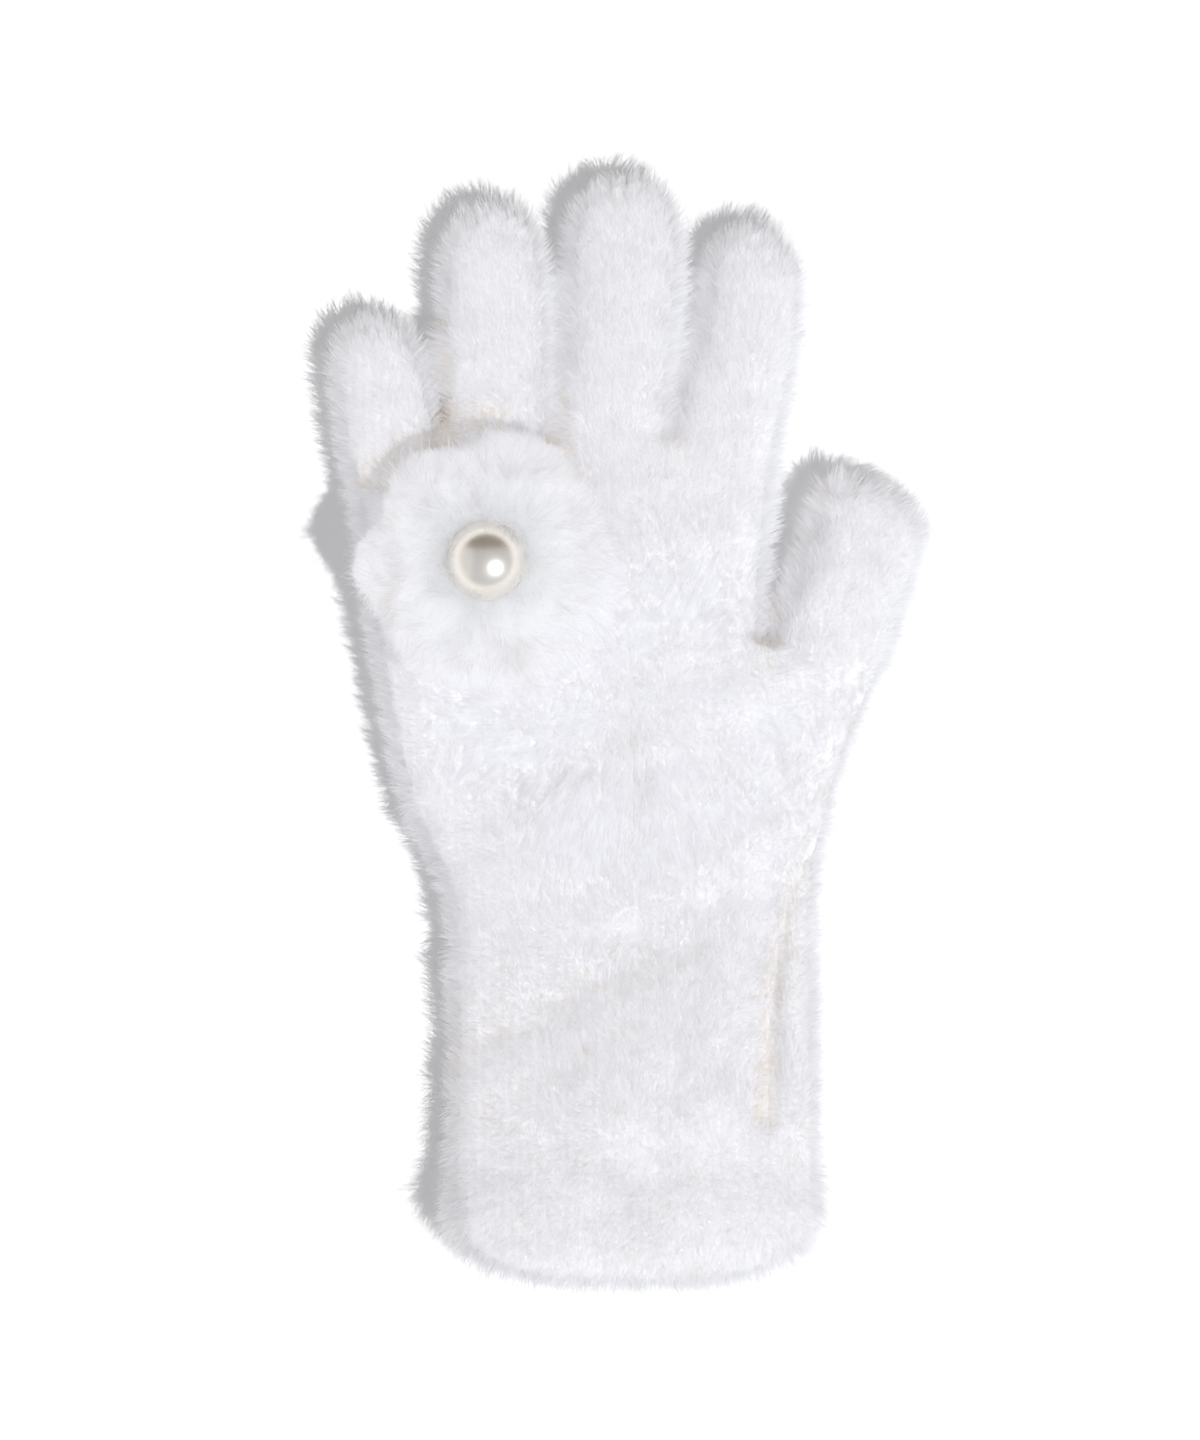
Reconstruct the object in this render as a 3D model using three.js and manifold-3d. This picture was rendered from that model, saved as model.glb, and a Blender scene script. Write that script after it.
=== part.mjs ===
// A long-haired knit glove for the left hand, lying palm down, empty and a little puffed.
// A fur flower with a pearl bead at its centre is sewn on the back of the hand.
//
// Each knit piece is a hollow wall with the shape it has on the table: a flat underside, rounded
// sides and a low crowned top. The four fingers and the thumb are tubes with a closed tip. They stand
// on the short stubs that the hand ends in, and their hollows lead into the hollow of the hand.
// Below the hand come the wrist and a hem, turned double, whose mouth is the way in.
//
// Units are millimetres. +X points to the thumb side, +Y to the fingertips and +Z up. The tables
// measure y from the edge of the hem. At the end all is shifted so that the origin is under the
// middle of the glove, on the surface that it lies on.

import * as THREE from "three";
import { mergeVertices } from "three/addons/utils/BufferGeometryUtils.js";
import Module from "manifold-3d";

const wasm = await Module();
wasm.setup();

// Walls and gaps
const KNIT_WALL = 2.2; // one layer of knit with its dense pile
const HEM_WALL = 3.2; // the knit turned double at the mouth
const JOIN_GAP = 0.3; // between pieces that are knitted or sewn together
const OVERRUN = 1.5; // how far a cutting shape runs past the face it opens

// Shape of a section: a flattened tube that rests on the table
const WIDEST_AT = 0.42; // height of the widest line, as a share of the section's height
const ROUNDNESS = 2.5; // power of the section's curve: 2 is an ellipse, more is squarer
const FLAT_FLOOR = 1.35; // over 1, the belly is cut flat where it lies on the table
const SIDE_RUN = 11; // width of the rounded side of a section that is wider than a finger
const CROWN_SPAN = 0.6; // share of the turn that crosses the even middle of a wide section
const BOW_POWER = 4; // how late the hem's edge turns up towards its corners
const FINE_STEPS = 240; // points walked to space a ring evenly

// Points round each kind of tube
const HAND_POINTS = 40;
const FINGER_POINTS = 16;
const THUMB_POINTS = 18;

// Rounding of a closed fingertip, as shares of its length
const TIP_SHARES = [0.3, 0.55, 0.75, 0.9, 0.98];

// The hem, from its open edge up. bow sets the sides of the edge back from its middle.
const HEM_ROWS = [
  { left: [-35.6, 0], right: [37.2, 0], height: 15.5, bow: 9.5 },
  { left: [-37.6, 1.5], right: [39.2, 1.5], height: 17.5, bow: 9 },
  { left: [-38.8, 6], right: [40.6, 6], height: 18.5, bow: 6 },
  { left: [-39.0, 13], right: [40.9, 13], height: 18, bow: 2 },
  { left: [-38.8, 21.7], right: [40.4, 21.7], height: 16, bow: 0 },
];

// The wrist, from the hem to the hand
const WRIST_ROWS = [
  { left: [-38.4, 22], right: [40.2, 22], height: 15 },
  { left: [-38.5, 28.5], right: [39.9, 28.5], height: 14.8 },
  { left: [-38.2, 39.5], right: [39.6, 39.5], height: 14.6 },
  { left: [-37.9, 50], right: [39.5, 50], height: 14.2 },
  { left: [-38.1, 61], right: [39.4, 61], height: 14 },
  { left: [-38.2, 72], right: [39.3, 72], height: 14 },
  { left: [-38.9, 82.7], right: [39.4, 82.7], height: 14 },
];

// The heel of the hand, from the wrist to the slanted line where the thumb stands off
const HEEL_ROWS = [
  { left: [-38.9, 83], right: [39.4, 83], height: 14 },
  { left: [-42.2, 91.6], right: [40.4, 91.6], height: 14.2 },
  { left: [-47.0, 100.3], right: [42.9, 100.3], height: 14.4 },
  { left: [-49.8, 109], right: [45.2, 109], height: 14.6 },
  { left: [-51.6, 118.5], right: [47.8, 117], height: 14.8 },
  { left: [-54.0, 131], right: [50.9, 124.0], height: 15 },
  { left: [-56.0, 147], right: [53.6, 130.0], height: 14.8 },
  { left: [-57.3, 158], right: [54.6, 132.2], height: 14.2 },
];

// The palm, from inside the heel to just under the finger roots
const PALM_ROWS = [
  { left: [-51.0, 120], right: [24, 120], height: 14.2 },
  { left: [-55.2, 140], right: [28.4, 139], height: 14.8 },
  { left: [-56.4, 149], right: [28.2, 149], height: 15 },
  { left: [-57.8, 159], right: [28.9, 159], height: 15 },
  { left: [-59.2, 168], right: [30.2, 170], height: 14.2 },
  { left: [-61.2, 179], right: [32.3, 184], height: 12.6 },
];

// Each finger from its root up. The first row lies on the root line, apex is the tip's end, and stub
// is the row inside the hand from which the hand's matching stub grows.
const FINGERS = {
  little_finger: {
    stub: { left: [-56.4, 155], right: [-37.0, 155], height: 11 },
    rows: [
      { left: [-62.2, 180.9], right: [-41.3, 182.2], height: 12 },
      { left: [-62.8, 191.0], right: [-44.1, 192.6], height: 12.2 },
      { left: [-63.6, 197.2], right: [-45.8, 199.6], height: 12 },
    ],
    apex: [-57.4, 210.8],
  },
  ring_finger: {
    stub: { left: [-40.0, 158], right: [-18.0, 158], height: 12 },
    rows: [
      { left: [-40.7, 182.3], right: [-17.7, 183.7], height: 12.9 },
      { left: [-39.6, 191.6], right: [-17.9, 191.6], height: 13.1 },
      { left: [-40.4, 207.8], right: [-18.3, 208.2], height: 13.1 },
      { left: [-40.4, 216.4], right: [-19.1, 217.4], height: 12.8 },
    ],
    apex: [-30.4, 235.4],
  },
  middle_finger: {
    stub: { left: [-16.4, 158], right: [7.0, 158], height: 12.2 },
    rows: [
      { left: [-17.1, 183.8], right: [8.2, 185.4], height: 13.1 },
      { left: [-14.8, 191.6], right: [8.2, 191.4], height: 13.3 },
      { left: [-13.7, 202.8], right: [9.3, 202.2], height: 13.5 },
      { left: [-13.4, 213.5], right: [10.1, 213.3], height: 13.4 },
      { left: [-13.0, 223.0], right: [10.4, 223.2], height: 13 },
    ],
    apex: [-1.0, 241.6],
  },
  index_finger: {
    stub: { left: [4.4, 160], right: [27.6, 160], height: 12 },
    rows: [
      { left: [8.8, 185.5], right: [32.8, 187.0], height: 12.9 },
      { left: [11.4, 193.8], right: [34.0, 191.6], height: 13.1 },
      { left: [14.8, 204.0], right: [35.5, 201.0], height: 13.1 },
      { left: [16.6, 214.4], right: [36.3, 212.4], height: 12.8 },
    ],
    apex: [27.6, 231.4],
  },
  thumb: {
    stub: { left: [18.0, 112], right: [42.6, 105.4], height: 13.2 },
    rows: [
      { left: [30.4, 139.8], right: [54.7, 132.4], height: 14.2 },
      { left: [36.2, 151.8], right: [59.1, 145.0], height: 14.3 },
      { left: [39.8, 162.2], right: [62.2, 155.6], height: 14 },
      { left: [41.4, 166.8], right: [63.3, 160.4], height: 13.6 },
    ],
    apex: [53.9, 177.4],
  },
};

// Folds in the upper layer: each is a valley along a path, deep at its line and mostly gone at its
// width. Lengths and paths are in millimetres.
const FOLDS = [
  { name: "side crease", depth: 2.8, width: 3.4, path: [[29.4, 33], [29.6, 55], [30.2, 71], [32.2, 88]] },
  { name: "thumb crease", depth: 1.4, width: 3.6, path: [[32.2, 88], [37, 99], [46.5, 116], [49.5, 131]] },
  { name: "wrist valley", depth: 2.2, width: 7.5, path: [[-37, 50], [-22, 58], [-4, 67], [12, 72.5]] },
  { name: "lower wrist valley", depth: 1.2, width: 5, path: [[-36, 34], [-26, 40], [-12, 46]] },
  { name: "hem line", depth: 1.5, width: 4, path: [[-40, 24], [-10, 26], [42, 25]] },
  { name: "heel dent", depth: 1.2, width: 5, path: [[-38, 92], [-31, 103], [-16, 109], [-4, 117]] },
  { name: "palm dent", depth: 1.0, width: 5, path: [[0, 116], [2.5, 105]] },
];

// The flower of fur petals round the bead. from and to are the sides of a petal, in degrees round
// from +X. reach is its length from the centre, and lift how high its middle lies over the hand.
const FLOWER_CENTRE = [-31.2, 156.0];
const FLOWER_SEAT = 15.4; // height of the back of the hand under the flower
const PETALS = [
  { from: 20, to: 99, reach: 26.4, lift: 2.6 },
  { from: 99, to: 158, reach: 25.8, lift: 1.6 },
  { from: 158, to: 206, reach: 26.6, lift: 0.8 },
  { from: 206, to: 284, reach: 26.0, lift: 1.6 },
  { from: 284, to: 380, reach: 27.0, lift: 2.0 },
];
const PETAL_HALF_HEIGHT = 7.6;
const PETAL_INNER_END = -1.5; // where a petal starts, past the centre line
const PETAL_FULLNESS = 0.74; // half width of the pad, as a share of its sector's at its end
const PETAL_SPREAD = 2.4; // added to that half width, so that a pad fills its sector
const PETAL_SLICES = 16;
const PETAL_STACKS = 8;

// The bead
const BEAD_RADIUS = 8.6;
const BEAD_HEIGHT = 25.0; // of its centre
const BEAD_SLICES = 24;
const BEAD_STACKS = 14;

// Distance from (x, y) to a path of straight runs.
function distanceToPath(x, y, path) {
  let nearest = Infinity;
  for (let i = 1; i < path.length; i++) {
    const [ax, ay] = path[i - 1];
    const [bx, by] = path[i];
    const along = ((x - ax) * (bx - ax) + (y - ay) * (by - ay)) / ((bx - ax) ** 2 + (by - ay) ** 2);
    const share = THREE.MathUtils.clamp(along, 0, 1);
    nearest = Math.min(nearest, Math.hypot(x - ax - share * (bx - ax), y - ay - share * (by - ay)));
  }
  return nearest;
}

// How far the folds lower the crown at (x, y). Where folds cross, the deepest counts.
function foldDepth(x, y) {
  return Math.max(
    ...FOLDS.map(({ path, depth, width }) => depth * Math.exp(-((distanceToPath(x, y, path) / width) ** 2))),
  );
}

// Points picked at even distances round a closed outline.
function spacedEvenly(outline, count) {
  const lengths = [0];
  for (let i = 1; i <= outline.length; i++) {
    lengths.push(lengths[i - 1] + outline[i % outline.length].distanceTo(outline[i - 1]));
  }
  const picked = [];
  let i = 0;
  for (let k = 0; k < count; k++) {
    const target = (lengths[outline.length] * k) / count;
    while (lengths[i + 1] < target) i++;
    const share = (target - lengths[i]) / (lengths[i + 1] - lengths[i]);
    picked.push(outline[i].clone().lerp(outline[(i + 1) % outline.length], share));
  }
  return picked;
}

// The ring of points round one row of a table, drawn in by inset all round. A row may hold a bow, and
// a scale that shrinks it towards its own middle, as in a fingertip.
function ringOf(row, inset, count) {
  const left = new THREE.Vector2(...row.left);
  const right = new THREE.Vector2(...row.right);
  const middle = left.clone().add(right).multiplyScalar(0.5);
  const across = right.clone().sub(left).normalize();
  const scale = row.scale ?? 1;
  const full = left.distanceTo(right) / 2;
  const side = Math.min(full, SIDE_RUN) - inset;
  const even = Math.max(0, full - SIDE_RUN);
  const half = side + even;
  const level = row.height * WIDEST_AT;
  const crown = row.height - level - inset;
  const belly = level - inset;
  const outline = [];
  for (let k = 0; k < FINE_STEPS; k++) {
    const angle = Math.PI - (2 * Math.PI * k) / FINE_STEPS;
    const c = Math.cos(angle);
    const s = Math.sin(angle);
    const crossed = THREE.MathUtils.clamp(c / CROWN_SPAN, -1, 1);
    const out = side * Math.sign(c) * Math.abs(c) ** (2 / ROUNDNESS) + even * crossed;
    const rise = Math.abs(s) ** (2 / ROUNDNESS);
    const z = s >= 0 ? crown * rise : -belly * Math.min(1, FLAT_FLOOR * rise);
    outline.push(new THREE.Vector2(out * scale, z * scale));
  }
  return spacedEvenly(outline, count).map((p) => {
    const setBack = (row.bow ?? 0) * Math.abs(p.x / half) ** BOW_POWER;
    const x = middle.x + across.x * p.x;
    const y = middle.y + across.y * p.x + setBack;
    const topShare = Math.max(0, p.y / crown);
    return new THREE.Vector3(x, y, level + p.y - foldDepth(x, y) * topShare);
  });
}

// A closed surface over rings of equal count. With poles, each end closes to a point; without, the
// last ring joins the first, which makes a tube with a wall.
function surfaceOver(rings, poles) {
  const count = rings[0].length;
  const points = rings.flat();
  const index = [];
  const joins = poles ? rings.length - 1 : rings.length;
  for (let r = 0; r < joins; r++) {
    const a = r * count;
    const b = ((r + 1) % rings.length) * count;
    for (let k = 0; k < count; k++) {
      const n = (k + 1) % count;
      index.push(a + k, a + n, b + n, a + k, b + n, b + k);
    }
  }
  if (poles) {
    const start = points.push(poles[0]) - 1;
    const end = points.push(poles[1]) - 1;
    const last = (rings.length - 1) * count;
    for (let k = 0; k < count; k++) {
      const n = (k + 1) % count;
      index.push(start, n, k);
      index.push(end, last + k, last + n);
    }
  }
  const geometry = new THREE.BufferGeometry().setFromPoints(points);
  geometry.setIndex(index);
  return facingOut(geometry);
}

// Turns every face round if the surface is inside out.
function facingOut(geometry) {
  const position = geometry.getAttribute("position");
  const index = geometry.getIndex().array;
  const corner = (i) => new THREE.Vector3().fromBufferAttribute(position, index[i]);
  let volume = 0;
  for (let i = 0; i < index.length; i += 3) {
    volume += corner(i).dot(corner(i + 1).cross(corner(i + 2)));
  }
  if (volume < 0) {
    for (let i = 0; i < index.length; i += 3) {
      [index[i + 1], index[i + 2]] = [index[i + 2], index[i + 1]];
    }
  }
  return geometry;
}

const centreOf = (ring) =>
  ring.reduce((sum, p) => sum.add(p), new THREE.Vector3()).divideScalar(ring.length);

// A tube with a wall, open at both ends.
function openTube(rows, wall, count) {
  const outer = rows.map((row) => ringOf(row, 0, count));
  const inner = rows.map((row) => ringOf(row, wall, count)).reverse();
  return surfaceOver([...outer, ...inner], null);
}

// A solid that fills a run of rows, with flat ends.
function filledRun(rows, inset, count) {
  const rings = rows.map((row) => ringOf(row, inset, count));
  return surfaceOver(rings, [centreOf(rings[0]), centreOf(rings.at(-1))]);
}

// The rows of a rounded tip, from the last row of a finger to its apex.
function tipRows(last, apex) {
  const middle = [(last.left[0] + last.right[0]) / 2, (last.left[1] + last.right[1]) / 2];
  return TIP_SHARES.map((share) => {
    const shift = [(apex[0] - middle[0]) * share, (apex[1] - middle[1]) * share];
    return {
      left: [last.left[0] + shift[0], last.left[1] + shift[1]],
      right: [last.right[0] + shift[0], last.right[1] + shift[1]],
      height: last.height,
      scale: Math.sqrt(1 - share * share),
    };
  });
}

// The apex drawn back by inset towards the finger.
function drawnBack(rows, apex, inset) {
  const last = rows.at(-1);
  const end = new THREE.Vector2(...apex);
  const middle = new THREE.Vector2(...last.left).add(new THREE.Vector2(...last.right)).multiplyScalar(0.5);
  return end.sub(end.clone().sub(middle).setLength(inset)).toArray();
}

// The rings and the end point of one skin of a finger, at inset inside its outer face.
function fingerSkin({ rows, apex }, inset, count) {
  const end = drawnBack(rows, apex, inset);
  const last = rows.at(-1);
  return {
    rings: [...rows, ...tipRows(last, end)].map((row) => ringOf(row, inset, count)),
    pole: new THREE.Vector3(...end, last.height * WIDEST_AT),
  };
}

// A hollow finger: closed at its tip and open at its root.
function fingerTube(finger, count) {
  const outer = fingerSkin(finger, 0, count);
  const inner = fingerSkin(finger, KNIT_WALL, count);
  return surfaceOver([...outer.rings.reverse(), ...inner.rings], [outer.pole, inner.pole]);
}

// A finger's outer form, filled, grown by gap. It cuts the petals that lie over it.
function fingerForm(finger, gap, count) {
  const { rings, pole } = fingerSkin(finger, -gap, count);
  return surfaceOver(rings, [centreOf(rings[0]), pole]);
}

// A row moved along the run from one row towards the next, by a distance.
function moved(row, from, to, distance) {
  const heading = new THREE.Vector2(
    to.left[0] + to.right[0] - from.left[0] - from.right[0],
    to.left[1] + to.right[1] - from.left[1] - from.right[1],
  ).setLength(distance);
  return {
    ...row,
    left: [row.left[0] + heading.x, row.left[1] + heading.y],
    right: [row.right[0] + heading.x, row.right[1] + heading.y],
  };
}

// Between three.js geometry and solids for cutting and joining
function toSolid(geometry) {
  const bare = new THREE.BufferGeometry().setAttribute("position", geometry.getAttribute("position"));
  bare.setIndex(geometry.getIndex());
  const merged = mergeVertices(bare, 1e-4);
  const vertProperties = new Float32Array(merged.getAttribute("position").array);
  const triVerts = new Uint32Array(merged.getIndex().array);
  return new wasm.Manifold(new wasm.Mesh({ numProp: 3, vertProperties, triVerts }));
}

function toGeometry(solid) {
  const mesh = solid.getMesh();
  const geometry = new THREE.BufferGeometry();
  geometry.setAttribute("position", new THREE.BufferAttribute(new Float32Array(mesh.vertProperties), 3));
  geometry.setIndex(new THREE.BufferAttribute(new Uint32Array(mesh.triVerts), 1));
  return geometry;
}

const joined = (solids) => solids.reduce((sum, next) => sum.add(next));

const pointsFor = (name) => (name === "thumb" ? THUMB_POINTS : FINGER_POINTS);

// The outer form of the hand, filled: heel, palm and the five stubs that the fingers stand on. A
// negative inset grows it.
function handForm(inset) {
  const parts = [filledRun(HEEL_ROWS, inset, HAND_POINTS), filledRun(PALM_ROWS, inset, HAND_POINTS)];
  for (const [name, { stub, rows }] of Object.entries(FINGERS)) {
    const end = moved(rows[0], rows[1], stub, JOIN_GAP);
    parts.push(filledRun([stub, end], inset, pointsFor(name)));
  }
  return joined(parts.map(toSolid));
}

// The hollow of the hand, open to the wrist and to each finger.
function handHollow() {
  const heel = [...HEEL_ROWS];
  heel[0] = moved(HEEL_ROWS[0], HEEL_ROWS[1], HEEL_ROWS[0], OVERRUN);
  heel.push(moved(heel.pop(), HEEL_ROWS.at(-1), HEEL_ROWS.at(-2), KNIT_WALL));
  const palm = [...PALM_ROWS];
  palm.push(moved(palm.pop(), PALM_ROWS.at(-1), PALM_ROWS.at(-2), KNIT_WALL));
  const parts = [filledRun(heel, KNIT_WALL, HAND_POINTS), filledRun(palm, KNIT_WALL, HAND_POINTS)];
  for (const [name, { stub, rows }] of Object.entries(FINGERS)) {
    const end = moved(rows[0], stub, rows[0], OVERRUN);
    parts.push(filledRun([stub, end], KNIT_WALL, pointsFor(name)));
  }
  return joined(parts.map(toSolid));
}

// What lies under the flower, grown by the gap that the petals keep to it.
function underFlower() {
  const nearby = [FINGERS.little_finger, FINGERS.ring_finger, FINGERS.middle_finger];
  const forms = nearby.map((finger) => toSolid(fingerForm(finger, JOIN_GAP, FINGER_POINTS)));
  return joined([handForm(-JOIN_GAP), ...forms]);
}

// A petal: a rounded pad, kept to its own sector and cut to lie on the glove and against the bead.
function petalSolid({ from, to, reach, lift }, glove) {
  const start = THREE.MathUtils.degToRad(from);
  const end = THREE.MathUtils.degToRad(to);
  const heading = (start + end) / 2;
  const halfAngle = (end - start) / 2;
  const halfLength = (reach - PETAL_INNER_END) / 2;
  const halfWidth = PETAL_FULLNESS * reach * Math.sin(halfAngle) + PETAL_SPREAD;
  const middle = PETAL_INNER_END + halfLength;
  const pad = new THREE.SphereGeometry(1, PETAL_SLICES, PETAL_STACKS)
    .rotateX(Math.PI / 2)
    .scale(halfLength, halfWidth, PETAL_HALF_HEIGHT)
    .translate(middle, 0, FLOWER_SEAT + lift)
    .rotateZ(heading)
    .translate(...FLOWER_CENTRE, 0);
  return toSolid(bare(pad)).intersect(sectorSolid(start, end, reach)).subtract(glove).subtract(beadSeat());
}

// The sector of the flower that belongs to one petal, with half the gap taken off each side. It is
// a kite with one corner at the centre and the others well past the petal.
function sectorSolid(start, end, reach) {
  const far = 2.5 * reach;
  const tall = 2 * (FLOWER_SEAT + PETAL_HALF_HEIGHT);
  const heading = (start + end) / 2;
  const setIn = JOIN_GAP / 2 / Math.sin((end - start) / 2);
  const apex = new THREE.Vector2(setIn * Math.cos(heading), setIn * Math.sin(heading));
  const cornerAt = (angle) => new THREE.Vector2(far * Math.cos(angle), far * Math.sin(angle)).add(apex);
  const outline = new THREE.Shape([apex, cornerAt(start), cornerAt(heading), cornerAt(end)]);
  const sector = new THREE.ExtrudeGeometry(outline, { depth: tall, bevelEnabled: false });
  return toSolid(bare(sector.translate(...FLOWER_CENTRE, 0)));
}

// The ball of space that the bead takes up in the flower.
function beadSeat() {
  return toSolid(bare(beadGeometry(BEAD_RADIUS + JOIN_GAP)));
}

function beadGeometry(radius) {
  return new THREE.SphereGeometry(radius, BEAD_SLICES, BEAD_STACKS)
    .rotateX(Math.PI / 2)
    .translate(...FLOWER_CENTRE, BEAD_HEIGHT);
}

// A geometry with its positions only, and shared corners merged.
function bare(geometry) {
  const copy = geometry.clone();
  copy.deleteAttribute("normal");
  copy.deleteAttribute("uv");
  return mergeVertices(copy, 1e-4);
}

const knit = new THREE.MeshStandardMaterial({ color: 0xf1f0f5, roughness: 0.95, metalness: 0 });
const fur = new THREE.MeshStandardMaterial({ color: 0xf5f4f7, roughness: 0.9, metalness: 0 });
const pearl = new THREE.MeshStandardMaterial({ color: 0xe9e2d8, roughness: 0.2, metalness: 0 });

const glove = new THREE.Group();

function addPiece(name, geometry, material) {
  const mesh = new THREE.Mesh(geometry, material);
  mesh.name = name;
  glove.add(mesh);
}

addPiece("cuff_hem", openTube(HEM_ROWS, HEM_WALL, HAND_POINTS), knit);
addPiece("wrist", openTube(WRIST_ROWS, KNIT_WALL, HAND_POINTS), knit);
addPiece("hand", toGeometry(handForm(0).subtract(handHollow())), knit);
for (const [name, finger] of Object.entries(FINGERS)) {
  addPiece(name, fingerTube(finger, pointsFor(name)), knit);
}
const gloveUnderFlower = underFlower();
PETALS.forEach((petal, i) => {
  addPiece(`flower_petal_${i + 1}`, toGeometry(petalSolid(petal, gloveUnderFlower)), fur);
});
addPiece("pearl_bead", bare(beadGeometry(BEAD_RADIUS)), pearl);

// The origin goes under the middle of the glove.
const box = new THREE.Box3().setFromObject(glove);
const middle = box.getCenter(new THREE.Vector3());
glove.position.set(-middle.x, -middle.y, -box.min.z);

export default glove;
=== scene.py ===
"""A fluffy white knit glove with a fur flower and a pearl bead, laid flat on white paper.

The glove is one hollow knit skin with brushed pile grown out of it, hair by hair. The flower is five
small pelts with long silky fur round a pearl bead. All sizes are in metres, in the frame's own axes.
"""

import logging
import math
from dataclasses import dataclass, field
from enum import Enum
from typing import ClassVar, NamedTuple

import bmesh
import bpy
import numpy as np
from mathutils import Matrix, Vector
from mathutils.bvhtree import BVHTree


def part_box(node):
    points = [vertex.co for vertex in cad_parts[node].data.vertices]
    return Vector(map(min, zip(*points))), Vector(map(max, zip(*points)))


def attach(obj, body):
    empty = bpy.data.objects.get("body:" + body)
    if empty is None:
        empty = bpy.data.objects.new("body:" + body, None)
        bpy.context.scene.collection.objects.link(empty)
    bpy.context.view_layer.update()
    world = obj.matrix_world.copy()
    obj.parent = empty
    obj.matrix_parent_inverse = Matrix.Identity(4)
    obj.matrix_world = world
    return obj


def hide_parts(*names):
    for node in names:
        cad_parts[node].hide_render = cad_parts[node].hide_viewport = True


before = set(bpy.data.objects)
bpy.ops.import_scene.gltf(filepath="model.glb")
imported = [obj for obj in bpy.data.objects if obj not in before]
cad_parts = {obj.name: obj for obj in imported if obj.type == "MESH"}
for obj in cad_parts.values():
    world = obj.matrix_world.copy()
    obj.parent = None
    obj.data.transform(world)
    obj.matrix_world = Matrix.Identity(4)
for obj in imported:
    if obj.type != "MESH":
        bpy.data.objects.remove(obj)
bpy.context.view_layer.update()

logging.basicConfig(level=logging.INFO, format="%(message)s")
log = logging.getLogger("knit_glove")

MM = 0.001
BODY = "root"
HAIR_MAP = "OFBake"

# The knit's stitches: the distance between its upright wales and between its courses
WALE = 2.0 * MM
COURSE = 1.5 * MM

# A hair's tint runs from 0, warm painted shade, through dull and plain to 1, bright
DULL = 0.22
PLAIN = 0.6
BRIGHTEST = 0.98

# The hair map is as wide as 64 hairs, with room for two at both sides
MAP_WIDTH = 64.0
MAP_MARGIN = 2.0

# A wave texture's distance from wave to wave at scale 1
WAVE_LENGTH = 0.314

UP = np.array([0.0, 0.0, 1.0])

Array = np.ndarray
Point = tuple[float, float]
Span = tuple[float, float]
Path = tuple[Point, ...]
Way = tuple[float, float, float]
Colour = tuple[float, float, float]


class Part(Enum):
    """The knitted parts of the glove, each with a number for the mesh tables."""

    CUFF_HEM = 0
    WRIST = 1
    HAND = 2
    LITTLE_FINGER = 3
    RING_FINGER = 4
    MIDDLE_FINGER = 5
    INDEX_FINGER = 6
    THUMB = 7

    @property
    def node(self) -> str:
        """The part's name in the frame."""
        return self.name.lower()


class Slot(Enum):
    """The record's material slots."""

    KNIT = "knit"
    FUR = "fur"
    PEARL = "pearl"


class Hollow(NamedTuple):
    """A hollow on the glove's plan, in millimetres, and how far it thins the pile there and paints warm
    shade on it, 0 to 1.
    """

    middle: Point
    half_size: Point
    bare_and_shade: float


class Crease(NamedTuple):
    """A fold or a line on the glove's plan, in millimetres, and how far it thins the pile there and
    paints warm shade on it, 0 to 1.
    """

    depth: float
    half_width: float
    bare_and_shade: float
    path: Path


class Parting(NamedTuple):
    """A line on the plan, in millimetres, where the flower's fur parts, shorter and painted with warm
    shade, and how far, 0 to 1.
    """

    half_width: float
    parted: float
    path: Path


class Fingertip(NamedTuple):
    """A fingertip on the plan, the finger's way, and the room that its hair takes, in millimetres."""

    tip: Point
    way: Point
    room: float


# Painted warm shade, where the pile is also thinner: between the fingers, at the thumb, and beside the
# flower under the little and ring fingers, where the flower's shadow falls
HOLLOWS = (
    Hollow((-39.5, 64.0), (4.0, 9.0), 0.6),
    Hollow((-14.4, 65.5), (3.5, 9.0), 0.5),
    Hollow((9.3, 66.0), (3.5, 10.0), 0.5),
    Hollow((30.2, 19.5), (4.0, 9.0), 0.6),
    Hollow((-52.5, 54.5), (5.5, 4.2), 1.0),
    Hollow((-45.5, 58.8), (5.5, 4.2), 1.0),
    Hollow((-33.0, 66.5), (7.0, 3.5), 0.6),
)

# Folds down the thumb's side, at the base of the thumb, across wrist and hem, and on the palm, each
# sunk into the knit with warm shade painted along it
FOLDS = (
    Crease(0.9, 1.8, 0.62, ((28.8, -86.4), (29.6, -75.0), (30.6, -60.0), (33.5, -47.0), (35.5, -35.0))),
    Crease(0.3, 2.0, 0.35, ((35.5, -35.0), (38.4, -21.8), (46.9, -4.8), (49.9, 10.2))),
    Crease(0.8, 5.5, 0.15, ((-36.7, -70.8), (-21.7, -62.8), (-3.7, -53.8), (12.4, -48.3))),
    Crease(0.3, 4.0, 0.10, ((-35.7, -86.8), (-25.7, -80.8), (-11.7, -74.8))),
    Crease(0.3, 4.0, 0.05, ((-39.7, -96.8), (-9.7, -94.8), (42.4, -95.8))),
    Crease(0.3, 3.5, 0.25, ((-37.7, -28.8), (-30.7, -17.8), (-15.7, -11.8), (-3.7, -3.8))),
    Crease(0.3, 3.0, 0.35, ((0.4, -4.8), (2.9, -15.8))),
)

# Lines of painted warm shade, where the pile is also thinner, deep between the thumb and the hand and
# between the fingers
SHADED_LINES = (
    Crease(0.0, 1.0, 0.7, ((42.5, 50.8), (36.5, 35.0), (31.5, 22.0))),
    Crease(0.0, 0.9, 0.7, ((-15.3, 94.0), (-14.4, 68.0))),
    Crease(0.0, 0.9, 0.7, ((13.6, 96.5), (10.4, 69.0))),
    Crease(0.0, 1.4, 0.85, ((-40.2, 86.0), (-39.5, 62.0))),
)

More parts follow.
